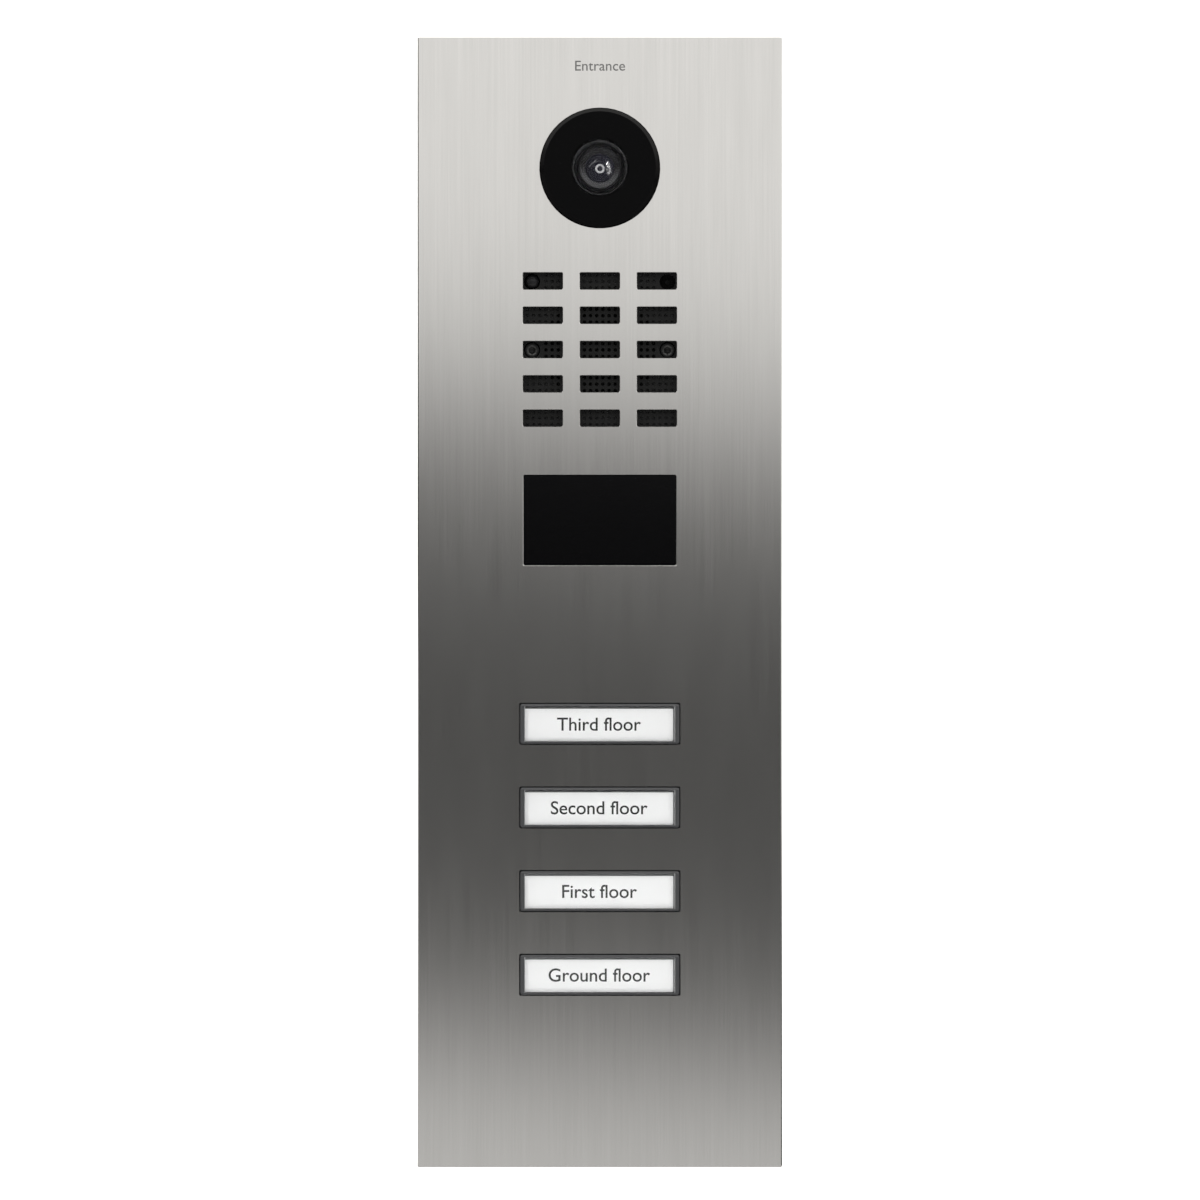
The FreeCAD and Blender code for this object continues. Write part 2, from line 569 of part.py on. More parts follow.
def reader_window():
    """Dark window of the card reader and motion sensor, with the board behind it."""
    at = (0.0, WINDOW_Z)
    pane = slab(WINDOW_SIZE[0] - 0.3, WINDOW_SIZE[1] - 0.3, (PLATE_FRONT + 0.3, PLATE_REAR), at, 0.6)
    save("sensor_window", join(pane, slab(51.0, 32.0, (PLATE_REAR, 0.6), at)))
    depth = (6.0, 7.2)
    board = slab(46.5, 28.0, depth, at, 1.0)
    save("card_reader_board", cut(board, *[rod(1.0, depth, post) for post in READER_POSTS]))
    lens_dome = Part.makeSphere(3.8, point(at, 4.6)).common(rod(3.8, (0.8, 4.0), at)).Solids[0]
    save("motion_sensor", join(lens_dome, rod(4.6, (4.0, 6.0), at)))


def main_board():
    """Main circuit board, notched round the screw bosses."""
    depth = (BOARD_FRONT, BOARD_REAR)
    board = slab(75.0, 147.0, depth, (0.0, MODULE_Z), 1.0)
    removed = [rod(3.6, depth, at) for at in COVER_BOSSES]
    removed += [rod(4.0, depth, at) for at in WALL_SCREWS]
    removed += [rod(CLEAR_BORE, depth, at) for at in BOARD_PILLARS]
    save("main_board", cut(board, *removed))


def board_components():
    """Chips, transformer, capacitors and connectors soldered to the main board."""
    def block(x, z, width, height, depth):
        return slab(width, height, (BOARD_REAR, BOARD_REAR + depth), (x, z))

    parts = [block(0.0, 118.0, 15.0, 15.0, 1.4), block(-19.0, 124.0, 9.0, 12.0, 1.1)]
    parts += [block(-19.0, 108.0, 9.0, 12.0, 1.1), block(22.0, 112.0, 8.0, 8.0, 1.0)]
    parts += [block(26.0, 132.0, 16.0, 12.0, 5.8), block(-24.0, 62.0, 7.0, 7.0, 1.0)]
    parts += [block(0.0, 92.0, 6.0, 5.0, 1.0), block(8.0, 62.0, 10.0, 10.0, 4.6)]
    capacitor = (3.15, (BOARD_REAR, BOARD_REAR + 6.4))
    parts += [rod(*capacitor, at) for at in ((29.0, 62.0), (29.0, 92.0), (-30.0, 92.0))]
    ribbon_plug = span_box((-8.0, 8.0), (BOARD_REAR, 24.4), (RIBBON_TOP_Z, RIBBON_TOP_Z + 5))
    camera_plug = span_box((-6.0, 6.0), (13.8, BOARD_FRONT), (139.5, 143.0))
    light_chip = slab(2.0, 2.0, (15.2, BOARD_FRONT), LIGHT_SENSOR, 0.1)
    save("board_components", *parts, ribbon_plug, camera_plug, light_chip)


def heat_sink():
    """Finned block on the processor."""
    base = slab(22.0, 22.0, (19.0, 20.6), (0.0, 118.0))
    fins = [span_box((x - 0.6, x + 0.6), (20.6, 24.4), (107.0, 129.0)) for x in (-10.4, -5.2, 0.0, 5.2, 10.4)]
    save("heat_sink", join(base, *fins))


def relays():
    """Two sealed relays that switch the door opener."""
    relay = [slab(20.0, 10.0, (BOARD_REAR, 24.4), (x, 47.0), 0.8) for x in (-15.0, 15.0)]
    save("relays", *[case.makeFillet(0.5, edges_at(case, 24.4)).Solids[0] for case in relay])


def terminals():
    """Socket on the board, the plug-in terminal block in it, and the block's clamp screws."""
    half_block = TERMINAL_WAYS * TERMINAL_PITCH / 2
    socket = span_box((-half_block - 0.5, half_block + 0.5), (BOARD_REAR, 24.4), (20.6, 31.4))
    room = span_box((-26.0, 26.0), (19.0, 24.4), (21.8, 30.2))
    save("terminal_header", cut(socket, room))
    block = span_box((-half_block, half_block), (24.5, 33.0), (19.6, 31.6))
    tail = span_box((-25.8, 25.8), (19.2, 24.5), (22.0, 30.0))
    ways = [(i - (TERMINAL_WAYS - 1) / 2) * TERMINAL_PITCH for i in range(TERMINAL_WAYS)]
    well_z = 27.5
    removed = []
    screws = []
    for x in ways:
        removed.append(span_box((x - 1.2, x + 1.2), (25.6, 28.4), (19.6, 26.5)))
        removed.append(rod(1.5, (29.5, 33.0), (x, well_z)))
        slot = span_box((x - 1.0, x + 1.0), (30.6, 31.2), (well_z - 0.25, well_z + 0.25))
        screws.append(cut(rod(1.35, (29.6, 31.2), (x, well_z)), slot))
    save("terminal_plug", cut(join(block, tail), *removed))
    save("terminal_screws", *screws)


def button_housing():
    """Moulded frame that guides the call buttons and carries their board."""
    centre = (0.0, BUTTON_MODULE_Z)
    wall_rear = 2.4
    inside = (BUTTON_MODULE_WIDTH - 4.0, BUTTON_MODULE_HEIGHT - 4.0)
    tub = cut(slab(BUTTON_MODULE_WIDTH, BUTTON_MODULE_HEIGHT, (PLATE_REAR, BUTTON_MODULE_REAR), centre, 2.5),
              slab(*inside, (wall_rear, BUTTON_MODULE_REAR), centre, 1.0))
    added = []
    for at in BUTTON_STUDS:
        added += ear(at, BUTTON_MODULE_WIDTH / 2 - 1, FRONT_WALL_REAR)
    added += [rod(3.2, (wall_rear, KEY_BOARD_FRONT), at) for at in KEY_BOSSES]
    for offset in (-1, 0, 1):
        z = BUTTON_MODULE_Z + offset * BUTTON_PITCH
        added.append(span_box((-24.0, 24.0), (wall_rear, KEY_MAT[0]), (z - 1.0, z + 1.0)))
    tub = join(tub, *added)
    removed = [slab(51.0, 15.0, (PLATE_REAR, wall_rear), (0.0, z)) for z in BUTTON_HEIGHTS]
    removed += [rod(1.7, (PLATE_REAR, wall_rear), at) for at in BUTTON_STUDS]
    removed += [rod(THREAD_BORE, (3.6, KEY_BOARD_FRONT), at) for at in KEY_BOSSES]
    top = BUTTON_MODULE_Z + BUTTON_MODULE_HEIGHT / 2
    removed.append(span_box((-7.0, 7.0), (10.4, BUTTON_MODULE_REAR), (top - 2.5, top)))
    save("button_housing", cut(tub, *removed))
    lid_rear = BUTTON_MODULE_REAR + 2.0
    lid = slab(BUTTON_MODULE_WIDTH, BUTTON_MODULE_HEIGHT, (BUTTON_MODULE_REAR, lid_rear), centre, 2.5)
    lid = lid.makeFillet(0.6, edges_at(lid, lid_rear)).Solids[0]
    lid = join(lid, *[rod(3.0, (KEY_BOARD_REAR, BUTTON_MODULE_REAR), at) for at in KEY_BOSSES])
    lid = cut(lid, *[rod(CLEAR_BORE, (KEY_BOARD_REAR, lid_rear), at) for at in KEY_BOSSES])
    save("button_rear_cover", lid)


def key_mat():
    """Silicone sheet with three domes under each button and feet that stand on the board."""
    centre = (0.0, BUTTON_MODULE_Z)
    dome = (3.55, KEY_MAT[0])
    mat = slab(60.0, 98.0, KEY_MAT, centre, 2.0)
    added = []
    for offset in (-1, 0, 1):
        z = BUTTON_MODULE_Z + offset * BUTTON_PITCH
        added.append(span_box((-20.0, 20.0), (KEY_MAT[1], KEY_BOARD_FRONT), (z - 1.0, z + 1.0)))
    added += [taper((3.0, 3.8), dome, (x, z)) for z in BUTTON_HEIGHTS for x in POST_X]
    mat = join(mat, *added)
    removed = [rod(3.6, KEY_MAT, at) for at in KEY_BOSSES]
    removed += [slab(4.4, 2.8, KEY_MAT, (x, z)) for z in BUTTON_HEIGHTS for x in LED_X]
    save("key_mat", cut(mat, *removed))


def button_electronics():
    """Button board with one switch and four lights behind each button."""
    depth = (KEY_BOARD_FRONT, KEY_BOARD_REAR)
    board = slab(60.0, 101.0, depth, (0.0, BUTTON_MODULE_Z), 1.0)
    save("button_board", cut(board, *[rod(1.5, depth, at) for at in KEY_BOSSES]))
    switches = []
    for z in BUTTON_HEIGHTS:
        body = slab(6.0, 6.0, (6.6, KEY_BOARD_FRONT), (0.0, z))
        switches.append(join(body, rod(1.6, (5.9, 6.6), (0.0, z))))
    save("button_switches", *switches)
    led_size = (3.2, 1.6, (7.5, KEY_BOARD_FRONT))
    save("button_leds", *[slab(*led_size, (x, z)) for z in BUTTON_HEIGHTS for x in LED_X])


def ribbon_cable():
    """Flat cable from the main board to the button board, with the socket at its lower end."""
    width = 12.7
    thickness = 0.9
    bend = 5.0
    turn = radians(60)
    bend_top = -3.5
    run = (RIBBON_START_Y - RIBBON_END_Y - 2 * bend * (1 - cos(turn))) / sin(turn)

    def side(offset):
        """Lines and arcs of one face of the cable, from top to bottom."""
        first = (RIBBON_START_Y - bend, bend_top)
        end = (first[0] + bend * cos(turn) - run * sin(turn), first[1] - bend * sin(turn) - run * cos(turn))
        second = (end[0] + bend * cos(turn), end[1] - bend * sin(turn))

        def upper(angle):
            reach = bend + offset
            return FreeCAD.Vector(-width / 2, first[0] + reach * cos(angle), first[1] - reach * sin(angle))

        def lower(angle):
            reach = bend - offset
            return FreeCAD.Vector(-width / 2, second[0] - reach * cos(angle), second[1] + reach * sin(angle))

        top = FreeCAD.Vector(-width / 2, RIBBON_START_Y + offset, RIBBON_TOP_Z)
        bottom = FreeCAD.Vector(-width / 2, RIBBON_END_Y + offset, RIBBON_BOTTOM_Z)
        edges = [Part.LineSegment(top, upper(0)), Part.Arc(upper(0), upper(turn / 2), upper(turn)),
                 Part.LineSegment(upper(turn), lower(turn)), Part.Arc(lower(turn), lower(turn / 2), lower(0)),
                 Part.LineSegment(lower(0), bottom)]
        return [edge.toShape() for edge in edges], top, bottom

    rear, rear_top, rear_bottom = side(thickness / 2)
    front, front_top, front_bottom = side(-thickness / 2)
    ends = [Part.LineSegment(rear_top, front_top).toShape()]
    ends.append(Part.LineSegment(rear_bottom, front_bottom).toShape())
    loop = Part.Wire(Part.__sortEdges__(rear + front + ends))
    cable = Part.Face(loop).extrude(FreeCAD.Vector(width, 0, 0))
    length = RIBBON_TOP_Z - bend_top + 2 * bend * turn + run
    length += bend_top - 2 * bend * sin(turn) - run * cos(turn) - RIBBON_BOTTOM_Z
    print("ribbon length", round(length, 2), "volume / (section x length)",
          round(cable.Volume / (width * thickness * length), 4))
    socket_z = (RIBBON_BOTTOM_Z - 4, RIBBON_BOTTOM_Z)
    socket = span_box((-8.0, 8.0), (KEY_BOARD_REAR, BUTTON_MODULE_REAR), socket_z)
    save("ribbon_cable", cable, socket)


def call_buttons():
    """Each button: clear cap, paper name card, and the diffuser tray that holds the card."""
    cap_size = (47.5, 11.9)
    cap_front = PLATE_FRONT - 0.9
    cap_edge = 0.5
    card_size = (44.5, 9.7)
    card_shift = (-0.3, -0.35)
    card_front = cap_front + 1.72
    flange = (PLATE_REAR + 0.15, 0.5)
    for number, z in enumerate(BUTTON_HEIGHTS, start=1):
        at = (0.0, z)
        front = slab(*cap_size, (cap_front, 0.0), at, 0.7)
        front = front.makeChamfer(cap_edge, edges_at(front, cap_front)).Solids[0]
        cap = join(front, slab(50.0, 14.2, flange, at, 0.8))
        cap = cut(cap, slab(45.4, 10.6, (card_front - 0.02, flange[1]), at))
        save(f"call_button_cap_{number}", cap)
        card_at = (at[0] + card_shift[0], at[1] + card_shift[1])
        save(f"name_card_{number}", slab(*card_size, (card_front, card_front + 0.2), card_at, 0.2))
        tray = slab(44.8, 10.0, (card_front + 0.28, 1.0), at)
        posts = [rod(2.0, (1.0, 3.5), (x, z)) for x in POST_X]
        tray = join(tray, slab(48.6, 13.0, (flange[1], 1.5), at), *posts)
        save(f"card_carrier_{number}", tray)


def build():
    """Write every sub-part, from the front of the panel to its back."""
    os.makedirs("parts", exist_ok=True)
    faceplate()
    plate_fixings()
    wall_gasket()
    wall_screws()
    hook_bracket()
    module_front_shell()
    module_rear_cover()
    module_seal()
    module_screws()
    camera_front()
    lens()
    lens_mount()
    infrared_filter()
    filter_drive()
    camera_boards()
    grille()
    speaker()
    microphone()
    light_guide()
    reader_window()
    main_board()
    board_components()
    heat_sink()
    relays()
    terminals()
    button_housing()
    key_mat()
    button_electronics()
    ribbon_cable()
    call_buttons()


build()
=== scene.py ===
from math import asin, cos, pi, radians, sin

import bpy
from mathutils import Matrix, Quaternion, Vector


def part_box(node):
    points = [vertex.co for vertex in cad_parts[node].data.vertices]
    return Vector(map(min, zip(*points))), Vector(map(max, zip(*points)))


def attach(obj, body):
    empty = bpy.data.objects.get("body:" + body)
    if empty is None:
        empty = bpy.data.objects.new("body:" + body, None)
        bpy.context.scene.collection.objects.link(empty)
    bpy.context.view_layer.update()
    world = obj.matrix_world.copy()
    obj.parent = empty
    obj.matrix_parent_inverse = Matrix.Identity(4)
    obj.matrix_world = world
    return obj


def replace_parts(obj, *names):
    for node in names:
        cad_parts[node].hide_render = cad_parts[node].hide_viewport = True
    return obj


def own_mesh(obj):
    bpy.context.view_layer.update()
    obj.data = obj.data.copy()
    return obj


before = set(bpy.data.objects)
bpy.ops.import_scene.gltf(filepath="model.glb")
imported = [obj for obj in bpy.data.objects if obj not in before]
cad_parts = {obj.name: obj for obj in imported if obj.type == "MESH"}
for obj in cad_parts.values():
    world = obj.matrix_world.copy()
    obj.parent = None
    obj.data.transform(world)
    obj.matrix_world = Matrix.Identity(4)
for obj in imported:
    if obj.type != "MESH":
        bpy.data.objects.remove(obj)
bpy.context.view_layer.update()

MM = 0.001

# ---- Face plate ----
# Stainless sheet, laser cut and then brushed from top to bottom, so it spreads reflections
# sideways and keeps them sharp up and down. The word is etched matt at the top edge.


def new_finish(name, colour, roughness, metallic=0.0):
    """Material with one Principled shader. Returns it with its node tree and shader."""
    made = bpy.data.materials.new(name)
    made.use_nodes = True
    shader = made.node_tree.nodes["Principled BSDF"]
    shader.inputs["Base Color"].default_value = (*colour, 1.0)
    shader.inputs["Roughness"].default_value = roughness
    shader.inputs["Metallic"].default_value = metallic
    return made, made.node_tree, shader


def on_piece(tree, kind, scale):
    """Texture laid on the piece's own coordinates, so many repeats to the metre on each axis."""
    place = tree.nodes.new("ShaderNodeTexCoord")
    stretch = tree.nodes.new("ShaderNodeMapping")
    stretch.inputs["Scale"].default_value = scale
    texture = tree.nodes.new(kind)
    tree.links.new(place.outputs["Object"], stretch.inputs["Vector"])
    tree.links.new(stretch.outputs["Vector"], texture.inputs["Vector"])
    return texture


def vary_colour(tree, factor, dark, light, socket, low=0.3, high=0.7):
    """Colour that runs from dark to light as the factor runs from low to high."""
    ramp = tree.nodes.new("ShaderNodeValToRGB")
    ramp.color_ramp.elements[0].position = low
    ramp.color_ramp.elements[0].color = (*dark, 1.0)
    ramp.color_ramp.elements[1].position = high
    ramp.color_ramp.elements[1].color = (*light, 1.0)
    tree.links.new(factor, ramp.inputs["Fac"])
    tree.links.new(ramp.outputs["Color"], socket)


def vary_value(tree, factor, least, most, socket, low=0.3, high=0.7):
    """Number that runs from least to most as the factor runs from low to high."""
    spread = tree.nodes.new("ShaderNodeMapRange")
    spread.inputs["From Min"].default_value = low
    spread.inputs["From Max"].default_value = high
    spread.inputs["To Min"].default_value = least
    spread.inputs["To Max"].default_value = most
    tree.links.new(factor, spread.inputs["Value"])
    tree.links.new(spread.outputs["Result"], socket)


def raise_grain(tree, shader, height, depth, strength=1.0):
    """Relief of that depth in metres, from a height pattern."""
    bump = tree.nodes.new("ShaderNodeBump")
    bump.inputs["Distance"].default_value = depth
    bump.inputs["Strength"].default_value = strength
    tree.links.new(height, bump.inputs["Height"])
    tree.links.new(bump.outputs["Normal"], shader.inputs["Normal"])


def brushed_steel(name, dark, light, strokes, roughness):
    """Steel with a brushed grain, so many strokes to the metre on each axis."""
    broad_share = 0.4
    uneven = 0.006
    grain_depth = 0.002 * MM
    grain_strength = 0.22
    made, tree, shader = new_finish(name, light, roughness, 1.0)
    fine = on_piece(tree, "ShaderNodeTexNoise", strokes)
    fine.inputs["Scale"].default_value = 1.0
    fine.inputs["Detail"].default_value = 5.0
    fine.inputs["Roughness"].default_value = 0.65
    broad = on_piece(tree, "ShaderNodeTexNoise", (strokes[0] * 0.1, strokes[1] * 0.3, strokes[2] * 2.2))
    broad.inputs["Scale"].default_value = 1.0
    broad.inputs["Detail"].default_value = 3.0
    both = tree.nodes.new("ShaderNodeMix")
    both.inputs["Factor"].default_value = broad_share
    tree.links.new(fine.outputs["Fac"], both.inputs["A"])
    tree.links.new(broad.outputs["Fac"], both.inputs["B"])
    vary_colour(tree, both.outputs["Result"], dark, light, shader.inputs["Base Color"])
    vary_value(tree, both.outputs["Result"], roughness - uneven, roughness + uneven,
               shader.inputs["Roughness"])
    raise_grain(tree, shader, fine.outputs["Fac"], grain_depth, grain_strength)
    shader.inputs["Anisotropic"].default_value = 1.0
    across = tree.nodes.new("ShaderNodeCombineXYZ")
    across.inputs["X"].default_value = 1.0
    tree.links.new(across.outputs["Vector"], shader.inputs["Tangent"])
    return made


def paint(finish, *nodes):
    """Gives CAD nodes a finish."""
    for node in nodes:
        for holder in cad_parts[node].material_slots:
            holder.material = finish


plate_steel = brushed_steel("plate_steel", (0.655, 0.645, 0.628), (0.725, 0.714, 0.697),
                            (2600.0, 300.0, 14.0), 0.175)
paint(plate_steel, "faceplate")
plate_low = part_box("faceplate")[0]
plate_front = plate_low.y
merge_within = 0.0000001


def only(*picked):
    """Selects these objects and nothing else, the first one active."""
    bpy.ops.object.select_all(action="DESELECT")
    for piece in picked:
        piece.select_set(True)
    bpy.context.view_layer.objects.active = picked[0]


def settle(piece, name, finish, body="panel"):
    """Puts a finished piece's place into its mesh, names it, and lets it ride on its body."""
    only(piece)
    bpy.ops.object.transform_apply(location=True, rotation=True, scale=True)
    piece.name = name
    piece.data.name = name
    piece.data.materials.clear()
    piece.data.materials.append(finish)
    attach(piece, body)
    return piece


def lettering(words, size, at, thickness, turn_z=0.0, weight=0.0):
    """Thin raised letters that face -Y, or +Y when turned round, centred at a point."""
    bpy.ops.object.select_all(action="DESELECT")
    bpy.ops.object.text_add(location=at, rotation=(pi / 2, 0.0, turn_z))
    text = bpy.context.object
    text.data.body = words
    text.data.size = size
    text.data.align_x = "CENTER"
    text.data.align_y = "CENTER"
    text.data.extrude = thickness / 2
    text.data.resolution_u = 6
    text.data.offset = weight
    bpy.ops.object.convert(target="MESH")
    piece = bpy.context.object
    bpy.ops.object.mode_set(mode="EDIT")
    bpy.ops.mesh.select_all(action="SELECT")
    bpy.ops.mesh.remove_doubles(threshold=merge_within)
    bpy.ops.mesh.normals_make_consistent(inside=False)
    bpy.ops.object.mode_set(mode="OBJECT")
    return piece


etched, etched_tree, etched_shader = new_finish("etched_steel", (0.13, 0.13, 0.127), 0.6, 0.7)
etched_dots = on_piece(etched_tree, "ShaderNodeTexNoise", (9000.0, 9000.0, 9000.0))
vary_colour(etched_tree, etched_dots.outputs["Fac"], (0.09, 0.09, 0.088), (0.17, 0.17, 0.167),
            etched_shader.inputs["Base Color"])
word_height = 4.3 * MM
word_z = 160.0 * MM
word_thickness = 0.03 * MM
word_weight = 0.02 * MM
word = lettering("Entrance", word_height, (0.0, plate_front, word_z), word_thickness, weight=word_weight)
settle(word, "etched_word", etched)

# ---- Studs and nuts ----
# M3 studs welded to the back of the plate, and zinc plated nuts with chamfered corners. The
# threads are turned grooves at the M3 pitch of 0.5 mm.


def plain_finish(name, colour, roughness, grain, relief, metallic=0.0, drift=0.12):
    """Finish with a fine relief grain, and colour and gloss that drift slowly over the piece."""
    slow_share = 0.04
    made, tree, shader = new_finish(name, colour, roughness, metallic)
    fine = on_piece(tree, "ShaderNodeTexNoise", (1 / grain,) * 3)
    fine.inputs["Scale"].default_value = 1.0
    fine.inputs["Detail"].default_value = 3.0
    slow = on_piece(tree, "ShaderNodeTexNoise", (slow_share / grain,) * 3)
    slow.inputs["Scale"].default_value = 1.0
    dark = tuple(c * (1 - drift) for c in colour)
    light = tuple(c * (1 + drift) for c in colour)
    vary_colour(tree, slow.outputs["Fac"], dark, light, shader.inputs["Base Color"])
    vary_value(tree, fine.outputs["Fac"], roughness * 0.9, min(roughness * 1.1, 1.0),
               shader.inputs["Roughness"])
    raise_grain(tree, shader, fine.outputs["Fac"], relief)
    return made


def drawn(rings, at, sides=48):
    """Turned piece along Y: a disc drawn out ring by ring, each ring (radius, y) in millimetres."""
    bpy.ops.object.select_all(action="DESELECT")
    radius, y = rings[0]
    bpy.ops.mesh.primitive_circle_add(vertices=sides, radius=radius * MM, fill_type="NGON",
                                      location=(at[0], y * MM, at[1]), rotation=(pi / 2, 0.0, 0.0))
    piece = bpy.context.object
    bpy.ops.object.mode_set(mode="EDIT")
    bpy.ops.mesh.select_mode(type="FACE")
    bpy.ops.mesh.select_all(action="SELECT")
    for new_radius, new_y in rings[1:]:
        bpy.ops.mesh.extrude_region_move(TRANSFORM_OT_translate={"value": (0.0, (new_y - y) * MM, 0.0)})
        growth = new_radius / radius
        if abs(growth - 1) > 0.0001:
            bpy.ops.transform.resize(value=(growth, 1.0, growth), center_override=(at[0], new_y * MM, at[1]))
        radius, y = new_radius, new_y
    bpy.ops.mesh.select_all(action="SELECT")
    bpy.ops.mesh.normals_make_consistent(inside=False)
    bpy.ops.object.mode_set(mode="OBJECT")
    return piece


def thread(start, end, outer=1.5, pitch=0.5):
    """Rings of an M3 thread between two depths, with a lead-in at the end."""
    groove_depth = 0.3
    lead_in = 0.2
    core = outer - groove_depth
    step = pitch / 2 if end > start else -pitch / 2
    turns = int(abs(end - start) / (pitch / 2)) - 1
    rings = [((core, outer)[i % 2], start + i * step) for i in range(turns)]
    return rings + [(core, end - step), (core - lead_in, end)]


def joined(pieces):
    """One object of several like pieces."""
    only(*pieces)
    bpy.ops.object.join()
    return bpy.context.object


def smooth(piece, degrees=35.0):
    """Rounds the shading of a piece except at its sharp edges."""
    only(piece)
    bpy.ops.object.shade_smooth_by_angle(angle=radians(degrees))


def copies(piece, places, first):
    """The piece and a copy with its own mesh at each further place (x, z) in metres."""
    made = [piece]
    for x, z in places:
        only(piece)
        bpy.ops.object.duplicate()
        copy = bpy.context.object
        copy.location.x += x - first[0]
        copy.location.z += z - first[1]
        made.append(copy)
    return made


zinc = plain_finish("zinc_plated_steel", (0.62, 0.63, 0.64), 0.32, 0.00008, 0.001 * MM, 1.0)
button_stud_z = (-33.5 * MM, -114.5 * MM)
upper_stud_z = (14.0 * MM, 79.0 * MM, 144.0 * MM)
ear_studs = [(side * 44.0 * MM, z) for z in upper_stud_z for side in (-1, 1)]
ear_studs += [(side * 36.5 * MM, z) for z in button_stud_z for side in (-1, 1)]
hook_studs = [(side * 20.0 * MM, -146.0 * MM) for side in (-1, 1)]
all_studs = ear_studs + hook_studs
stud_root = [(1.5, -1.0), (1.5, 1.0)]
stud = drawn(stud_root + thread(1.25, 6.5), all_studs[0], 24)
studs = joined(copies(stud, all_studs[1:], all_studs[0]))
smooth(studs, 50.0)
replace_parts(settle(studs, "threaded_studs", zinc), "faceplate_studs")


def reach_to_side(place):
    """How far out a point lies, square to the nearest side of a hexagon."""
    return max(place.dot(Vector((cos(i * pi / 3), sin(i * pi / 3)))) for i in range(6))


def nut(at, seat):
    """Hexagon nut with chamfered corners and a bored hole, drawn out from its seat."""
    half_flats = 2.75
    half_corners = 3.175
    bore = 1.55
    lead_in = 0.15
    top = seat + 2.4
    chamfer = 0.25
    sides = 48
    rings = [(bore, top - lead_in), (bore + lead_in, top), (half_flats, top), (half_corners, top - chamfer),
             (half_corners, seat + chamfer), (half_flats, seat), (bore + lead_in, seat),
             (bore, seat + lead_in)]
    piece = drawn(rings, at, sides)
    for vertex in piece.data.vertices:
        place = Vector((vertex.co.x, vertex.co.y))
        if place.length > (half_flats + 0.05) * MM:
            place *= min(1.0, half_flats * MM / reach_to_side(place))
            vertex.co.x, vertex.co.y = place
    only(piece)
    bpy.ops.object.mode_set(mode="EDIT")
    bpy.ops.mesh.select_mode(type="FACE")
    bpy.ops.mesh.select_all(action="DESELECT")
    bpy.ops.object.mode_set(mode="OBJECT")
    for face in piece.data.polygons:
        face.select = len(face.vertices) == sides
    bpy.ops.object.mode_set(mode="EDIT")
    bpy.ops.mesh.bridge_edge_loops()
    bpy.ops.mesh.select_all(action="SELECT")
    bpy.ops.mesh.normals_make_consistent(inside=False)
    bpy.ops.object.mode_set(mode="OBJECT")
    return piece


ear_nut = nut(ear_studs[0], 2.0)
hook_nut = nut(hook_studs[0], 0.5)
nuts = joined(copies(ear_nut, ear_studs[1:], ear_studs[0]) +
              copies(hook_nut, hook_studs[1:], hook_studs[0]))
smooth(nuts, 25.0)
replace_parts(settle(nuts, "chamfered_nuts", zinc), "stud_nuts")

# ---- Wall gasket and seals ----
# Closed-cell foam strip stuck to the back of the plate, and the moulded rubber seals of the
# housing, the camera and the microphone.
foam, foam_tree, foam_shader = new_finish("cell_foam", (0.03, 0.03, 0.031), 0.95)
foam_cells = on_piece(foam_tree, "ShaderNodeTexVoronoi", (2600.0, 2600.0, 2600.0))
foam_cells.inputs["Scale"].default_value = 1.0
vary_colour(foam_tree, foam_cells.outputs["Distance"], (0.018, 0.018, 0.019), (0.045, 0.045, 0.046),
            foam_shader.inputs["Base Color"], 0.1, 0.8)
raise_grain(foam_tree, foam_shader, foam_cells.outputs["Distance"], 0.08 * MM)
paint(foam, "wall_gasket")
seal_rubber = plain_finish("seal_rubber", (0.03, 0.03, 0.03), 0.75, 0.0002, 0.004 * MM)
paint(seal_rubber, "module_seal", "camera_seal")


def tune(finish, socket, value):
    """Sets one value on a finish's own shader."""
    finish.node_tree.nodes["Principled BSDF"].inputs[socket].default_value = value


boot_rubber = plain_finish("soft_black_rubber", (0.004, 0.004, 0.004), 0.95, 0.0002, 0.004 * MM)
tune(boot_rubber, "Specular IOR Level", 0.1)
paint(boot_rubber, "microphone_boot")

# ---- Hook bracket ----
# Bent strip with two tongues that hook behind the lower edge of the wall box. Left in its
# mill finish, with the rolling grain along the strip.
bracket_steel = brushed_steel("bracket_steel", (0.50, 0.50, 0.49), (0.64, 0.64, 0.63),
                              (120.0, 900.0, 900.0), 0.36)
paint(bracket_steel, "hook_bracket")

# ---- Wall screws ----
# Two M3 socket screws with a black oxide finish, reached through the middle row of slots.
# Each has a thin waist with a clip round it, so it stays in the panel when it is loose.
head_radius = 2.3
socket_corner = 1.25


def socket_screw(at):
    """Cylinder head with a rolled edge and a hexagon socket, a thin waist and a threaded end."""
    tip = 37.5
    thread_start = 28.1
    waist = 1.15
    head_rear = 2.5
    head_front = 0.1
    rear_edge = 0.1
    rolled_edge = 0.3
    rolled_middle = 0.09
    mouth = 1.5
    socket_flats = 2.0
    socket_floor = 1.4
    rings = list(reversed(thread(thread_start, tip)))
    rings += [(waist, thread_start), (waist, head_rear), (head_radius - rear_edge, head_rear),
              (head_radius, head_rear - rear_edge), (head_radius, head_front + rolled_edge),
              (head_radius - rolled_middle, head_front + rolled_middle),
              (head_radius - rolled_edge, head_front), (mouth, head_front),
              (socket_corner, head_front + 0.25), (socket_corner, socket_floor), (0.4, socket_floor + 0.35)]
    piece = drawn(rings, at)
    for vertex in piece.data.vertices:
        place = Vector((vertex.co.x, vertex.co.y))
        if abs(place.length - socket_corner * MM) < 0.01 * MM:
            place *= socket_flats / 2 * MM / reach_to_side(place)
            vertex.co.x, vertex.co.y = place
    return piece


